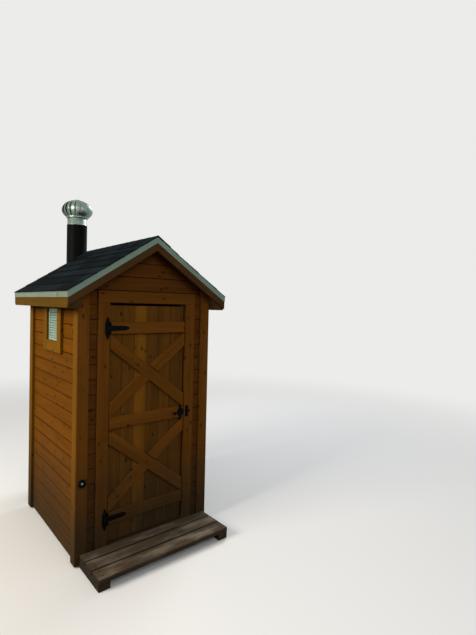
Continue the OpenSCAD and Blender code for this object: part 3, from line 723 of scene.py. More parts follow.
def course_edges(foot, top, joint, pitch, least=20 * MM):
    """Heights of the joints between foot and top, so that one of them falls at joint."""
    count = math.ceil((foot + least - joint) / pitch)
    edges = [foot]
    while joint + count * pitch < top - least:
        edges.append(joint + count * pitch)
        count += 1
    return edges + [top]


def rows(foot, top, joint, pitch, gap):
    """Feet and tops of the boards between foot and top, with a gap between two of them."""
    edges = course_edges(foot, top, joint, pitch)
    return [(low + gap / 2, high - gap / 2) for low, high in zip(edges, edges[1:])]


def ordered(side, near, far):
    """Low and high end of a stretch on one side, given by its two distances from the middle."""
    return sorted((side * near, side * far))


def roof_cuts(work):
    """Cuts the tops of boards to the two planes under the roof boards."""
    angle = sizes().roof_angle
    for side in (-1, 1):
        work.cut((0, 0, roof_z(0, SHINGLE_DEPTH)), (side * math.sin(angle), 0, math.cos(angle)))


def lay(name, boxes, ease, key, slot, *nodes, body="building", under_roof=False):
    """Lays sawn boards as one piece, each between two corners, and cuts them to the roof above them."""
    work = Boardwork(name)
    for low, high in boxes:
        work.box(low, high)
    if under_roof:
        roof_cuts(work)
    seat(work.done(ease), body, key, slot, *nodes)


def loose_copy(node, name):
    """Copy of a node's mesh with its triangles joined to whole faces, as an object of its own."""
    piece = bpy.data.objects.new(name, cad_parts[node].data.copy())
    bpy.context.scene.collection.objects.link(piece)
    only(piece)
    bpy.ops.object.mode_set(mode="EDIT")
    bpy.ops.mesh.select_all(action="SELECT")
    bpy.ops.mesh.remove_doubles(threshold=2 * NEAR)
    bpy.ops.mesh.dissolve_limited(angle_limit=math.radians(1.0))
    bpy.ops.object.mode_set(mode="OBJECT")
    return piece


def eased_copy(node, name, ease, body, key, slot):
    """A node's own shape with eased edges."""
    piece = loose_copy(node, name)
    bevel(piece, ease, angle=30)
    only(piece)
    bpy.ops.object.shade_smooth_by_angle(angle=math.radians(35))
    seat(piece, body, key, slot, node)


def board_copy(nodes, name, key, slot, body="building", grain=None, ease=None):
    """Boards taken over from nodes whose shapes are right, one board for each loose solid."""
    first, *others = [loose_copy(node, name + "_part") for node in nodes]
    only(first)
    if others:
        for other in others:
            other.select_set(True)
        bpy.ops.object.join()
    first.name = first.data.name = name
    bpy.ops.object.mode_set(mode="EDIT")
    boards = Boardwork(name, first)
    mesh, layer = boards.numbers()
    seen = set()
    for start in sorted(mesh.verts, key=lambda vert: [round(vert.co[axis], 4) for axis in (1, 0, 2)]):
        if start in seen:
            continue
        island, front = {start}, [start]
        while front:
            for edge in front.pop().link_edges:
                for vert in edge.verts:
                    if vert not in island:
                        island.add(vert)
                        front.append(vert)
        for vert in island:
            vert[layer] = len(boards.grains)
        low = Vector([min(vert.co[axis] for vert in island) for axis in range(3)])
        high = Vector([max(vert.co[axis] for vert in island) for axis in range(3)])
        along = grain((low + high) / 2) if grain else along_longest(high - low)
        boards.grains.append(along.normalized())
        seen |= island
    bmesh.update_edit_mesh(first.data)
    seat(boards.done(ease or sizes().ease), body, key, slot, *nodes)


def lathe(piece, outline, centre, steps=64, angle=math.tau):
    """Turns an outline of (radius, height) points about an upright axis, in the piece's edit mode."""
    mesh = bmesh.from_edit_mesh(piece.data)
    for vert in mesh.verts:
        vert.select_set(False)
    mesh.select_flush(False)
    turned = [mesh.verts.new((centre[0] + radius, centre[1], height)) for radius, height in outline]
    edges = [mesh.edges.new(pair) for pair in zip(turned, turned[1:])]
    for part in turned + edges:
        part.select_set(True)
    bmesh.update_edit_mesh(piece.data)
    bpy.ops.mesh.spin(steps=steps, angle=angle, center=centre, axis=(0, 0, 1), dupli=False)


def close_turned(piece, angle=35):
    """Joins the seam of turned shapes, points their faces outwards and smooths them."""
    bpy.ops.mesh.select_all(action="SELECT")
    bpy.ops.mesh.remove_doubles(threshold=NEAR)
    bpy.ops.mesh.normals_make_consistent(inside=False)
    bpy.ops.object.mode_set(mode="OBJECT")
    only(piece)
    bpy.ops.object.shade_smooth_by_angle(angle=math.radians(angle))


def write_boxes():
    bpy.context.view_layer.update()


# Operators


class BuildStep(bpy.types.Operator):
    """Base of the operators, each of which builds its pieces from the sizes in the panel"""
    bl_options = {"REGISTER", "UNDO"}

    def execute(self, context):
        self.build(sizes())
        deselect()
        return {"FINISHED"}


class OUTHOUSE_OT_walls(BuildStep, bpy.types.Operator):
    """Side, rear and front walls of grooved siding boards, with a core and a lining of boards"""
    bl_idname = "outhouse.walls"
    bl_label = "Walls"

    def build(self, s):
        for side, name in ((-1, "left_wall"), (1, "right_wall")):
            self.side_wall(side, name, s)
        self.rear_wall(s)
        for side, name in ((-1, "front_wall_left"), (1, "front_wall_right")):
            self.front_wall(side, name, s)
        self.gable(s)

    def side_wall(self, side, name, s):
        """Siding from corner to corner, black paper over the framing behind it, and the boards inside."""
        hole = VENT_HOLE if side < 0 else None
        skin, lining = SIDE_X - s.siding_t, INNER_X + s.lining_t
        reach = SIDE_Y - s.siding_t - s.gap
        base = FLOOR_Z + s.gap
        # Each layer's two faces, half its length, its foot, one joint, a board's height and its eased edge
        for suffix, key, outer, inner, half, foot, joint, pitch, ease, nodes in (
                ("_boards", "side_stain_painted_lit", SIDE_X, skin, reach, LEFT_LOW.z, s.side_joint, s.siding, s.groove,
                 [name]),
                ("_core", "paper", skin - s.gap, lining + s.gap, reach, base, base, RIDGE_Z, THIN_EASE, []),
                ("_lining", "bare_wood", lining, INNER_X, INNER_Y, base, base, s.lining_w, THIN_EASE, [])):
            x0, x1 = ordered(side, outer, inner)
            boxes = []
            for low, high in rows(foot, RIDGE_Z, joint, pitch, s.gap):
                boxes += self.round_hole(x0, x1, half, low, high, hole)
            lay(name + suffix, boxes, ease, key, "wall_stain", *nodes, under_roof=True)

    def round_hole(self, x0, x1, reach, low, high, hole):
        """One board, or what is left of it beside, under and over the vent's hole."""
        spans = [(-reach, reach, low, high)]
        if hole and low < hole[3] and high > hole[2]:
            near, far, sill, head = hole
            spans = [(-reach, near, low, high), (far, reach, low, high)]
            if low < sill:
                spans.append((near, far, low, sill))
            if high > head:
                spans.append((near, far, head, high))
        return [((x0, first, foot), (x1, last, top)) for first, last, foot, top in spans]

    def rear_wall(self, s):
        boxes = [((-SIDE_X, SIDE_Y - s.siding_t, low), (SIDE_X, SIDE_Y, high))
                 for low, high in rows(LEFT_LOW.z, RIDGE_Z, s.front_joint, s.siding, s.gap)]
        # The rear boards take the front's stain with its painted shade
        lay("rear_wall_boards", boxes, s.groove, "front_stain_painted_shade", "wall_stain", "rear_wall", under_roof=True)
        self.cross_lining("rear_wall", FLOOR_Z, s, 1)

    def cross_lining(self, name, foot, s, side):
        """Black paper and lining boards of the rear wall or of the front gable."""
        near, far = INNER_Y, SIDE_Y - s.siding_t
        layers = (("_core", "paper", near + s.lining_t + s.gap, far - s.gap, RIDGE_Z),
                  ("_lining", "bare_wood", near, near + s.lining_t, s.lining_w))
        for suffix, key, first, last, pitch in layers:
            y0, y1 = ordered(side, first, last)
            boxes = [((-INNER_X, y0, low), (INNER_X, y1, high))
                     for low, high in rows(foot + s.gap, RIDGE_Z, foot, pitch, s.gap)]
            lay(name + suffix, boxes, THIN_EASE, key, "wall_stain", under_roof=True)

    def front_wall(self, side, name, s):
        """Siding beside the door, the paper and the lining behind it, and the stop that the door meets."""
        skin = -SIDE_Y + s.siding_t
        x0, x1 = ordered(side, OPENING_X, SIDE_X)
        boxes = [((x0, -SIDE_Y, low), (x1, skin, high))
                 for low, high in rows(LEFT_LOW.z, OPENING_TOP, s.front_joint, s.siding, s.gap)]
        # The course that the head of the doorway cuts runs on beside the head casing
        last = course_edges(OPENING_TOP, RIDGE_Z, s.front_joint, s.siding)[1]
        x0, x1 = ordered(side, HEAD_HIGH.x, SIDE_X)
        boxes.append(((x0, -SIDE_Y, OPENING_TOP - s.gap / 2), (x1, skin, last - s.gap / 2)))
        lay(name + "_boards", boxes, s.groove, "front_stain_painted_shade", "wall_stain", name)
        x0, x1 = ordered(side, OPENING_X + s.gap, INNER_X)
        lining = -INNER_Y - s.lining_t
        core = (x0, skin + s.gap, FLOOR_Z + s.gap), (x1, lining - s.gap, OPENING_TOP)
        lay(name + "_core", [core], THIN_EASE, "paper", "wall_stain")
        boxes = [((x0, lining, low), (x1, -INNER_Y, high))
                 for low, high in rows(FLOOR_Z + s.gap, OPENING_TOP, FLOOR_Z, s.lining_w, s.gap)]
        x0, x1 = ordered(side, STOP_X, OPENING_X)
        boxes.append(((x0, STOP_Y, FLOOR_Z), (x1, -INNER_Y, OPENING_TOP)))
        lay(name + "_lining", boxes, STOP_EASE, "bare_wood", "wall_stain")

    def gable(self, s):
        """The lowest course runs between the corners of the head casing, the others from side to side."""
        skin = -SIDE_Y + s.siding_t
        first, *edges = course_edges(OPENING_TOP, RIDGE_Z, s.front_joint, s.siding)
        boxes = [((-HEAD_HIGH.x + s.gap, -SIDE_Y, first), (HEAD_HIGH.x - s.gap, skin, edges[0] - s.gap / 2))]
        boxes += [((-SIDE_X, -SIDE_Y, low + s.gap / 2), (SIDE_X, skin, high - s.gap / 2))
                  for low, high in zip(edges, edges[1:])]
        lay("front_gable_boards", boxes, s.groove, "front_stain_painted_shade", "wall_stain", "front_gable",
            under_roof=True)
        self.cross_lining("front_gable", OPENING_TOP, s, -1)


class OUTHOUSE_OT_trim(BuildStep, bpy.types.Operator):
    """Corner boards, casings of the door and the side vent"""
    bl_idname = "outhouse.trim"
    bl_label = "Trim"

    def build(self, s):
        for way, end in (("front", -1), ("rear", 1)):
            for hand, side in (("left", -1), ("right", 1)):
                self.corner(f"corner_{way}_{hand}", side, end, s)
        for name in ("casing_left", "casing_right", "head_casing"):
            lay(name + "_board", [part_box(name)], s.ease, "trim_stain", "trim_stain", name)
        self.vent_casing(s)

    def corner(self, name, side, end, s):
        """A board on the gable side that laps the edge of the board on the eave side."""
        low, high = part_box(name)
        lap = low.copy(), high.copy()
        lap[0].y, lap[1].y = ordered(end, SIDE_Y, HALF_D)
        butt = low.copy(), high.copy()
        butt[0].x, butt[1].x = ordered(side, HALF_W - (HALF_D - SIDE_Y), HALF_W)
        butt[0].y, butt[1].y = ordered(end, HALF_D - (high.x - low.x), SIDE_Y - s.gap / 2)
        top = side * HALF_W, 0, roof_z(HALF_W, SHINGLE_DEPTH)
        normal = side * math.sin(s.roof_angle), 0, math.cos(s.roof_angle)
        # The board on the eave side takes the trim stain with painted light
        for part, board, key, nodes in (("_lap_board", lap, "trim_stain", [name]),
                                        ("_side_board", butt, "side_trim_painted_lit", [])):
            work = Boardwork(name + part)
            work.box(*board)
            work.cut(top, normal)
            seat(work.done(s.ease), "building", key, "trim_stain", *nodes)

    def vent_casing(self, s):
        """Side boards run past the foot board; a narrow strip closes the top under the soffit."""
        low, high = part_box("vent_frame")
        near, far = VENT_LOW, VENT_HIGH
        end_gap, foot_gap = s.gap / 2, s.gap / 8
        boxes = [(low, (high.x, near.y - foot_gap, high.z)),
                 ((low.x, far.y + foot_gap, low.z), high),
                 ((low.x, near.y + end_gap, low.z), (high.x, far.y - end_gap, near.z - foot_gap)),
                 ((low.x, near.y + end_gap, far.z + foot_gap), (high.x, far.y - end_gap, high.z))]
        # The casing on the side wall takes the trim stain with painted light
        lay("vent_casing_boards", boxes, s.ease, "side_trim_painted_lit", "trim_stain", "vent_frame")


class OUTHOUSE_OT_floor(BuildStep, bpy.types.Operator):
    """Skids and floor planks"""
    bl_idname = "outhouse.floor"
    bl_label = "Floor"

    def build(self, s):
        board_copy(["skids"], "skid_timbers", "treated_wood", "treated_wood", ease=SKID_EASE)
        front = FLOOR_LOW.y + (HALF_D - SIDE_Y) + s.siding_t + s.gap
        edges = course_edges(front, FLOOR_HIGH.y, 0.0, s.lining_w)
        boxes = [((FLOOR_LOW.x, near + s.gap, FLOOR_LOW.z), (FLOOR_HIGH.x, far - s.gap, FLOOR_Z))
                 for near, far in zip(edges, edges[1:])]
        lay("floor_planks", boxes, s.ease, "bare_wood", "bare_wood", "floor")
        # The threshold fills the doorway and takes the front's stain, with its painted shade
        threshold = (-OPENING_X + s.gap, FLOOR_LOW.y, FLOOR_LOW.z), (OPENING_X - s.gap, front, FLOOR_Z)
        lay("threshold_board", [threshold], s.ease, "front_stain_painted_shade", "wall_stain")


class OUTHOUSE_OT_roof_timber(BuildStep, bpy.types.Operator):
    """Roof boards, fascias, rake boards and boxed soffits"""
    bl_idname = "outhouse.roof_timber"
    bl_label = "Roof timber"

    def build(self, s):
        for side, name in ((-1, "roof_deck_left"), (1, "roof_deck_right")):
            self.deck(side, name, s)
        board_copy(["fascia_left", "fascia_right"], "fascia_boards", "fascia_stain", "wall_stain")
        fall = slope()
        # Rake boards and soffits take the trim stain in painted shade
        board_copy(["front_rakes", "rear_rakes"], "rake_boards", "rake_stain_painted_shade", "trim_stain",
                   grain=lambda at: Vector((1.0, 0.0, -fall if at.x > 0 else fall)))
        board_copy(["soffit_left", "soffit_right"], "soffit_boards", "rake_stain_painted_shade", "trim_stain")

    def deck(self, side, name, s):
        """Roof boards that run from gable to gable, from the ridge down to the eave."""
        work = Boardwork(name + "_boards")
        low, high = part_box(name)
        reach = high.x if side > 0 else -low.x
        step = s.lining_w * math.cos(s.roof_angle)
        near = 0.0
        while near < reach - LEAST_BOARD:
            far = min(near + step, reach)
            x0, x1 = ordered(side, near, far - s.gap)
            near_top, near_foot = roof_z(near, SHINGLE_T), roof_z(near, SHINGLE_T + DECK_T)
            drop = -(far - s.gap - near) * slope()
            lift = 0.0 if side > 0 else drop
            work.box((x0, low.y, near_foot + lift), (x1, high.y, near_top + lift), side * drop, ALONG_ROOF)
            near = far
        seat(work.done(THIN_EASE), "building", "bare_wood", "bare_wood", name)


class OUTHOUSE_OT_shingles(BuildStep, bpy.types.Operator):
    """Courses of three-tab shingles and lapped ridge caps"""
    bl_idname = "outhouse.shingles"
    bl_label = "Shingles"

    def build(self, s):
        for side, name in ((-1, "shingles_left"), (1, "shingles_right")):
            self.side(side, name, s)
        self.caps(s)

    def side(self, side, name, s):
        """Each course: a head strip with tabs hanging from it, over a black strip that paints the shade in
        the slots.
        """
        low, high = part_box(name)
        courses = math.ceil(SHINGLE_HIGH.x / math.cos(s.roof_angle) / SHINGLE_RUN)
        tabs, painted_slot_shade = [], []
        chance = random.Random(name)
        for course in range(courses):
            start = course * SHINGLE_RUN
            painted_slot_shade.append((start, TAB_SHARE, low.y + SLOT_SHADE_IN, high.y - SLOT_SHADE_IN, SLOT_SHADE_DEPTH, SLOT_SHADE_T))
            tabs.append((start + TAB_SHARE * SHINGLE_RUN, STRIP_SHARE, low.y, high.y, 0.0, TAB_T))
            edge = low.y - (course % 2) * s.tab_w / 2
            while edge < high.y:
                near, far = max(low.y, edge + s.slot_w / 2), min(high.y, edge + s.tab_w - s.slot_w / 2)
                if far - near > LEAST_TAB:
                    slip = chance.uniform(-TAB_STRAY, TAB_STRAY)
                    tabs.append((start + slip, TAB_SHARE, near, far, chance.uniform(0, TAB_SINK), TAB_T))
                edge += s.tab_w
        # The black strips under the tabs are painted shade in the slots
        for suffix, slabs, key, nodes in (("_tabs", tabs, "shingle", [name]),
                                          ("_backing", painted_slot_shade, "paper", [])):
            work = Boardwork(name + suffix)
            for slab in slabs:
                self.slab(work, side, *slab)
            work.cut((0, 0, 0), (-side, 0, 0))
            seat(work.done(TAB_EASE, 1), "building", key, "asphalt", *nodes)

    def slab(self, work, side, start, runs, near, far, depth, thick):
        """Thin slab that lies tilted on the slope, from a distance off the eave over a share of a course."""
        cos = math.cos(sizes().roof_angle)
        rise = SHINGLE_T / 2 / SHINGLE_RUN
        low_x = SHINGLE_HIGH.x - max(0.0, start) * cos
        high_x = max(0.0, SHINGLE_HIGH.x - (start + runs * SHINGLE_RUN) * cos)
        if low_x <= high_x:
            return
        # A tab that strays towards the eave still belongs to its own course
        course = math.floor(start / SHINGLE_RUN + 0.02) * SHINGLE_RUN
        sinks = [depth + ((SHINGLE_HIGH.x - x) / cos - course) * rise for x in (low_x, high_x)]
        low_z, high_z = roof_z(low_x, max(depth, sinks[0])), roof_z(high_x, sinks[1])
        drop = thick / cos
        if side > 0:
            work.box((high_x, near, high_z - drop), (low_x, far, high_z), low_z - high_z, ALONG_ROOF)
        else:
            work.box((-low_x, near, low_z - drop), (-high_x, far, low_z), high_z - low_z, ALONG_ROOF)

    def caps(self, s):
        """Caps folded over the ridge, each lapping the one behind it."""
        low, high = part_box("ridge_cap")
        drop = high.x * slope()
        thick = TAB_T / math.cos(s.roof_angle)
        lift = high.z - RIDGE_Z
        tilt = (lift - thick) * CAP_TILT
        length = s.cap_run + CAP_LAP
        work = Boardwork("ridge_cap_shingles")
        chance = random.Random("caps")
        for index in range(math.ceil((high.y - low.y) / s.cap_run)):
            near = low.y + index * s.cap_run
            far = min(near + length, high.y)
            wide = high.x - chance.uniform(0, CAP_STRAY)
            for side in (-1, 1):
                x0, x1 = ordered(side, 0.0, wide)
                base = high.z - thick - (0.0 if side > 0 else drop)
                lean = -side * drop
                cap = work.box((x0, near, base), (x1, far, base + thick), lean, ALONG_ROOF)
                if index == 0:
                    # A folded strip closes the gap under the first cap's end
                    under = base - lift + thick
                    work.box((x0, near + STRIP_NEAR, under), (x1, far - STRIP_FAR, base), lean, ALONG_ROOF)
                work.select(lambda place, board: board == cap and abs(place.y - far) < NEAR)
                bpy.ops.transform.translate(value=(0, 0, -tilt * (far - near) / length))
        seat(work.done(CAP_EASE, 1), "building", "shingle", "asphalt", "ridge_cap")


class OUTHOUSE_OT_metal_edges(BuildStep, bpy.types.Operator):
    """Painted drip edges with their lap joints"""
    bl_idname = "outhouse.metal_edges"
    bl_label = "Metal edges"

    def build(self, s):
        for name in ("drip_edge_left", "drip_edge_right"):
            seat(loose_copy(name, name + "_metal"), "building", "drip_metal", "drip_metal", name)
        self.laps()

    def laps(self):
        """A short cover over the joint of two lengths of metal near each front corner, with its dark edge."""
        low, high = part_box("drip_edge_left")
        for name, inset, width, key in LAPS:
            piece = new_piece(name)
            for side in (-1, 1):
                bpy.ops.mesh.select_all(action="DESELECT")
                bpy.ops.mesh.primitive_cube_add(
                    size=1, location=(side * (-low.x - inset), DECK_LOW.y + LAP_BACK, low.z + LAP_MIDDLE),
                    scale=(LAP_T, width, LAP_HEIGHT))
            bpy.ops.object.mode_set(mode="OBJECT")
            bevel(piece, LAP_EASE, segments=1)
            seat(piece, "building", key, "drip_metal")


class OUTHOUSE_OT_door(BuildStep, bpy.types.Operator):
    """Door of grooved upright boards with three rails and two crossed pairs of braces"""
    bl_idname = "outhouse.door"
    bl_label = "Door"

    def build(self, s):
        low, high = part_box("door_boards")
        edges = [low.x, *DOOR_JOINTS, high.x]
        boards = list(zip(edges, edges[1:]))
        pale = boards.pop(PALE_BOARD)
        for name, some, key, nodes in (("door_plank_boards", boards, "door_stain", ["door_boards"]),
                                       ("door_pale_board", [pale], "pale_door", [])):
            boxes = [((near + s.gap / 2, low.y, low.z), (far - s.gap / 2, high.y, high.z))
                     for near, far in some]
            lay(name, boxes, s.groove, key, "door_stain", *nodes, body="door")
        # Tongues close the joints between the boards
        middle = (low.y + high.y) / 2
        boxes = [((joint - TONGUE_HALF_W, middle - TONGUE_HALF_T, low.z + TONGUE_SHORT),
                  (joint + TONGUE_HALF_W, middle + TONGUE_HALF_T, high.z - TONGUE_SHORT))
                 for joint in DOOR_JOINTS]
        lay("door_board_tongues", boxes, TONGUE_EASE, "door_stain", "door_stain", body="door")
        board_copy(["door_rails"], "door_rail_boards", "trim_stain", "trim_stain", body="door")
        self.braces(s)

    def braces(self, s):
        """In each panel one whole brace, and two halves that meet it where they would cross."""
        rails_low, rails_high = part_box("door_rails")
        brace_low, brace_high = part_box("door_braces")
        left, right = rails_low.x, rails_high.x
        near, far = rails_low.y, rails_high.y
        width = right - left
        work = Boardwork("door_brace_boards")
        for foot, top in ((brace_low.z, BOLT_ROW[0] - RAIL_W / 2), (BOLT_ROW[0] + RAIL_W / 2, brace_high.z)):
            height = top - foot
            # The brace is as wide as a rail, so its own slope sets how tall it stands at its ends
            first = math.atan(height / width)
            angle = math.atan((height - RAIL_W / math.cos(first)) / width)
            tall = RAIL_W / math.cos(angle)
            fall = height - tall
            work.box((left, near, top - tall), (right, far, top), lean=-fall)
            normal = Vector((math.sin(angle), 0, math.cos(angle)))
            for way, at in ((-1, top + s.gap / 2), (1, top - tall - s.gap / 2)):
                number = work.box((left, near, foot), (right, far, foot + tall), lean=fall)
                work.cut((left, 0, at), way * normal, {number})
        seat(work.done(s.ease), "door", "trim_stain", "trim_stain", "door_braces")


class OUTHOUSE_OT_ironwork(BuildStep, bpy.types.Operator):
    """Hinges, slide bolt, keeper and bumper with their screws"""
    bl_idname = "outhouse.ironwork"
    bl_label = "Ironwork"

    def build(self, s):
        for node, body in (("hinge_plates", "building"), ("hinge_straps", "door"), ("bolt_housing", "door"),
                           ("slide_bolt", "bolt"), ("bolt_keeper", "building")):
            eased_copy(node, node + "_iron", IRON_EASE, body, "iron", "black_iron")
        self.bumper()
        for name, node, body, heights, spots in SCREWS:
            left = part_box(node)[0].x
            self.screws(name, [(left + x, height + z) for height in heights for x, z in spots], body)

    def screws(self, name, places, body):
        """Domed screw heads on the faces of the plates."""
        piece = new_piece(name)
        for x, z in places:
            bpy.ops.mesh.select_all(action="DESELECT")
            bpy.ops.mesh.primitive_uv_sphere_add(
                segments=16, ring_count=8, radius=SCREW_R, location=(x, PLATES[1].y - PLATE_T, z),
                rotation=(math.radians(90), 0, 0), scale=(1.0, 1.0, 0.5))
        bpy.ops.object.mode_set(mode="OBJECT")
        only(piece)
        bpy.ops.object.shade_smooth()
        seat(piece, body, "iron", "black_iron")

    def bumper(self):
        """Rubber buffer: a ring with a rounded rim round a wide recess, held by a zinc plated screw."""
        low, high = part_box("door_bumper")
        middle = (low + high) / 2
        radius, length = (high.x - low.x) / 2, high.y - low.y
        place = Matrix.Translation((middle.x, high.y, middle.z)) @ Matrix.Rotation(math.radians(90), 4, "X")
        foot = [(0.0, 0.0), (radius * 0.96, 0.0), (radius, 2 * MM)]
        for name, start, outline, key, slot, nodes in (
                ("door_bumper_rubber", foot, BUMPER_RUBBER, "rubber", "black_rubber", ["door_bumper"]),
                ("door_bumper_screw", [], BUMPER_SCREW, "zinc", "galvanised", [])):
            piece = new_piece(name)
            shape = start + [(radius * share, length - depth * MM) for share, depth in outline]
            lathe(piece, shape, (0, 0, 0), 40)
            close_turned(piece, 40)
            piece.data.transform(place)
            seat(piece, "building", key, slot, *nodes)


class OUTHOUSE_OT_vent(BuildStep, bpy.types.Operator):
    """Moulded louvre of the side vent"""
    bl_idname = "outhouse.vent"
    bl_label = "Side vent"

    def build(self, s):
        eased_copy("vent_louvre", "vent_louvre_moulding", LOUVRE_EASE, "building", "vent", "vent_white")


class OUTHOUSE_OT_step(BuildStep, bpy.types.Operator):
    """Plank step on two supports, with screws"""
    bl_idname = "outhouse.step"
    bl_label = "Step"

    def build(self, s):
        board_copy(["step_boards"], "step_plank_boards", "step_wood", "step_wood", ease=STEP_EASE)
        board_copy(["step_supports"], "step_support_timbers", "step_timber", "step_wood", ease=SUPPORT_EASE)
        low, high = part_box("step_supports")
        piece = new_piece("step_screws")
        for x in (low.x + STEP_SCREW_IN, high.x - STEP_SCREW_IN):
            for y in STEP_SCREW_ROWS:
                bpy.ops.mesh.select_all(action="DESELECT")
                bpy.ops.mesh.primitive_cylinder_add(
                    vertices=16, radius=SCREW_R, depth=STEP_SCREW_T,
                    location=(x, STEP_LOW.y + y, STEP_HIGH.z + STEP_SCREW_UP))
        bpy.ops.object.mode_set(mode="OBJECT")
        seat(piece, "building", "iron", "step_wood")


class OUTHOUSE_OT_stack(BuildStep, bpy.types.Operator):
    """Vent pipe, its brackets, the sheet collar and the turbine head"""
    bl_idname = "outhouse.stack"
    bl_label = "Vent stack"

    def build(self, s):
        low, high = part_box("vent_pipe")
        centre = Vector(((low.x + high.x) / 2, (low.y + high.y) / 2, 0.0))
        self.pipe(low, high, centre)
        eased_copy("pipe_brackets", "pipe_straps", STRAP_EASE, "building", "pipe_black", "black_iron")
        eased_copy("turbine_base", "turbine_collar", COLLAR_EASE, "building", "zinc", "galvanised")
        self.head(centre)

    def pipe(self, low, high, centre):
        """Enamelled pipe in lengths that slip into each other with a raised bead."""
        bead = (high.x - low.x) / 2
        outer, inner = bead - BEAD, bead - PIPE_WALL
        outline = [(inner, low.z), (outer, low.z)]
        joint = low.z + PIPE_LENGTH
        while joint < high.z - LEAST_LENGTH:
            outline += [(outer, joint - BEAD_HALF), (bead, joint - CREST_HALF),
                        (bead, joint + CREST_HALF), (outer, joint + BEAD_HALF)]
            joint += PIPE_LENGTH
        outline += [(outer, high.z), (inner, high.z), (inner, low.z)]
        piece = new_piece("vent_pipe_lengths")
        lathe(piece, outline, centre, 96)
        close_turned(piece, 50)
        seat(piece, "building", "pipe_black", "pipe_black", "vent_pipe")

    def head(self, centre):
        """Vanes that overlap like scales between a foot ring and a crown. They stand upright, and each opens
        to the left of its neighbour as seen from outside."""
        low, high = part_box("turbine_rotor")
        radius = high.x - centre.x
        crown_z = high.z - CROWN_H
        half = (crown_z - low.z - RING_H / 2) / (math.sin(VANE_TOP) - math.sin(VANE_FOOT))
        middle = low.z + RING_H / 2 - half * math.sin(VANE_FOOT)
        rises = [VANE_FOOT + (VANE_TOP - VANE_FOOT) * count / VANE_POINTS for count in range(VANE_POINTS + 1)]
        piece = new_piece("turbine_head")
        lathe(piece, [(radius * math.cos(rise), middle + half * math.sin(rise)) for rise in rises], centre, 6,
              angle=VANE_SPAN)
        self.dish(piece, centre)
        bpy.ops.mesh.select_all(action="SELECT")
        bpy.ops.mesh.spin(steps=VANES - 1, angle=math.tau * (VANES - 1) / VANES, center=centre,
                          axis=(0, 0, 1), dupli=True)
        bpy.ops.object.mode_set(mode="OBJECT")
        apply_modifier(piece, "SOLIDIFY", thickness=VANE_T, offset=-1.0, use_even_offset=True)
        bpy.ops.object.mode_set(mode="EDIT")
        ring = radius * math.cos(VANE_FOOT) + RING_OUT
        crown = radius * math.cos(VANE_TOP) + CROWN_OUT
        foot_ring = [
            (ring - RING_W, low.z), (ring, low.z), (ring, low.z + RING_H), (ring - SHEET_T, low.z + RING_H),
            (ring - SHEET_T, low.z + SHEET_T), (ring - RING_W, low.z + SHEET_T), (ring - RING_W, low.z)]
        crown_and_hub = [
            (0.0, crown_z + 2 * MM), (HUB_BORE, crown_z + 2 * MM), (HUB_BORE, crown_z - HUB_H),
            (HUB_R, crown_z - HUB_H), (HUB_R, crown_z - SHEET_T), (crown, crown_z - 2 * SHEET_T),
            (crown, crown_z - SHEET_T), ((crown + HUB_R) / 2, crown_z + CROWN_H * 2 / 3),
            (HUB_R, high.z - 1 * MM), (HUB_R - 3 * MM, high.z), (0.0, high.z)]
        lathe(piece, foot_ring, centre, 96)
        lathe(piece, crown_and_hub, centre, 96)
        close_turned(piece)
        seat(piece, "turbine", "zinc", "galvanised", "turbine_rotor")

    def dish(self, piece, centre):
        """Draws each vane in towards its hidden edge, where it slips under the next one."""
        mesh = bmesh.from_edit_mesh(piece.data)
        for vert in mesh.verts:
            out = vert.co - centre
            share = abs(math.atan2(out.y, out.x)) / VANE_SPAN
            keep = 1.0 - VANE_DISH * share ** VANE_CURVE
            vert.co = centre + out * Vector((keep, keep, 1))
        bmesh.update_edit_mesh(piece.data)


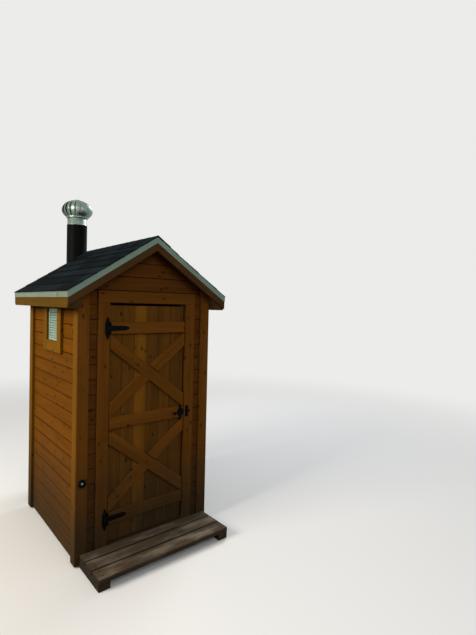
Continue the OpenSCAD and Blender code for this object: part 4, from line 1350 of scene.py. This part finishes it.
class OUTHOUSE_OT_stage(BuildStep, bpy.types.Operator):
    """Pale floor and backdrop, soft studio lights and the camera"""
    bl_idname = "outhouse.stage"
    bl_label = "Stage"

    def build(self, s):
        self.floor()
        self.world()
        self.lights()
        self.camera(bpy.context.scene.outhouse_view)

    def seen(self, tree):
        """1 for the rays that show the background: the camera's, a mirrored and a transmitted ray."""
        path = add_node(tree, "LightPath").node.outputs
        direct = add_node(tree, "Math", {0: path["Is Camera Ray"], 1: path["Is Glossy Ray"]},
                          operation="MAXIMUM")
        return add_node(tree, "Math", {0: direct, 1: path["Is Transmission Ray"]}, operation="MAXIMUM")

    def floor(self):
        """Matte floor that keeps the shadow and fades into the backdrop's colour away from the object."""
        deselect()
        bpy.ops.mesh.primitive_plane_add(size=FLOOR_SIZE, location=(0, 0, -FLOOR_DROP))
        ground = bpy.context.object
        ground.name = "studio_floor"
        made, tree = new_material("Matte studio floor")
        here = add_node(tree, "TexCoord", output="Object")
        away = add_node(tree, "VectorMath", {0: here}, "Value", operation="LENGTH")
        fade = add_node(tree, "MapRange", {
            "Value": away, "From Min": FADE_NEAR, "From Max": FADE_FAR}, "Result",
            interpolation_type="SMOOTHSTEP")
        seen = self.seen(tree)
        far = add_node(tree, "Math", {0: fade, 1: seen}, operation="MULTIPLY")
        # To the object's own shading it is as dark as soil, so that little light comes from below
        tones = add_node(tree, "Mix", {0: seen, 6: linear("#5E5C58"), 7: linear("#F4F4F2")}, 2,
                         data_type="RGBA")
        lit = add_node(tree, "BsdfPrincipled", {
            "Base Color": tones, "Roughness": 0.9, "Specular IOR Level": 0.0})
        pale = add_node(tree, "Emission", {"Color": linear(BACKDROP), "Strength": 1.0})
        mixed = add_node(tree, "MixShader", {0: far, 1: lit, 2: pale})
        add_node(tree, "OutputMaterial", {"Surface": mixed})
        ground.data.materials.append(made)

    def world(self):
        world = bpy.data.worlds.new("Studio")
        bpy.context.scene.world = world
        world.use_nodes = True
        tree = world.node_tree
        tree.nodes.clear()
        fill = add_node(tree, "Background", {"Color": linear("#FFFFFF"), "Strength": WORLD_LEVEL})
        pale = add_node(tree, "Background", {"Color": linear(BACKDROP), "Strength": 1.0})
        mixed = add_node(tree, "MixShader", {0: self.seen(tree), 1: fill, 2: pale})
        add_node(tree, "OutputWorld", {"Surface": mixed})

    def lights(self):
        """A large soft box from the left rear, a weak one from the front and one from the right."""
        for name, place, width, power, code in LIGHTS:
            deselect()
            bpy.ops.object.light_add(type="AREA", location=place)
            lamp = bpy.context.object
            lamp.name = name
            lamp.data.shape = "RECTANGLE"
            lamp.data.size = lamp.data.size_y = width
            lamp.data.energy = power
            lamp.data.color = linear(code)[:3]
            lamp.rotation_euler = (Vector(LIGHT_AIM) - Vector(place)).to_track_quat("-Z", "Y").to_euler()

    def camera(self, view):
        deselect()
        bpy.ops.object.camera_add(location=view.place)
        camera = bpy.context.object
        camera.name = "photo_camera"
        ahead = Vector((math.sin(view.yaw) * math.cos(view.dip), math.cos(view.yaw) * math.cos(view.dip),
                        -math.sin(view.dip)))
        right = Vector((math.cos(view.yaw), -math.sin(view.yaw), 0))
        up = right.cross(ahead)
        across = math.cos(view.roll) * right + math.sin(view.roll) * up
        upright = math.cos(view.roll) * up - math.sin(view.roll) * right
        facing = Matrix((across, upright, -ahead)).transposed()
        camera.rotation_euler = facing.to_euler()
        camera.data.sensor_fit = "AUTO"
        camera.data.sensor_width = SENSOR
        camera.data.lens = view.focal / PHOTO_H * SENSOR
        camera.data.clip_end = 200
        bpy.context.scene.camera = camera
        bpy.context.scene.view_settings.view_transform = "Standard"


OPERATORS = (
    OUTHOUSE_OT_stage, OUTHOUSE_OT_walls, OUTHOUSE_OT_trim, OUTHOUSE_OT_floor, OUTHOUSE_OT_roof_timber,
    OUTHOUSE_OT_shingles, OUTHOUSE_OT_metal_edges, OUTHOUSE_OT_door, OUTHOUSE_OT_ironwork, OUTHOUSE_OT_vent,
    OUTHOUSE_OT_step, OUTHOUSE_OT_stack,
)


class OUTHOUSE_PT_panel(bpy.types.Panel):
    """Steps of the outhouse in the sidebar"""
    bl_idname = "OUTHOUSE_PT_panel"
    bl_label = "Outhouse"
    bl_space_type = "VIEW_3D"
    bl_region_type = "UI"
    bl_category = "Outhouse"

    def draw(self, context):
        for operator in OPERATORS:
            self.layout.operator(operator.bl_idname)
        for name in ("outhouse_sizes", "outhouse_colours", "outhouse_view"):
            group = getattr(context.scene, name)
            for key in group.bl_rna.properties.keys():
                if key not in ("rna_type", "name"):
                    self.layout.prop(group, key)


GROUPS = {"outhouse_sizes": OuthouseSizes, "outhouse_colours": OuthouseColours, "outhouse_view": OuthouseView}


def register():
    for group in (*GROUPS.values(), *OPERATORS, OUTHOUSE_PT_panel):
        bpy.utils.register_class(group)
    for name, group in GROUPS.items():
        setattr(bpy.types.Scene, name, bpy.props.PointerProperty(type=group))


def unregister():
    for name in GROUPS:
        delattr(bpy.types.Scene, name)
    for group in reversed((*GROUPS.values(), *OPERATORS, OUTHOUSE_PT_panel)):
        bpy.utils.unregister_class(group)


def main():
    register()
    for operator in OPERATORS:
        family, name = operator.bl_idname.split(".")
        getattr(getattr(bpy.ops, family), name)()
    write_boxes()


if __name__ == "__main__":
    main()
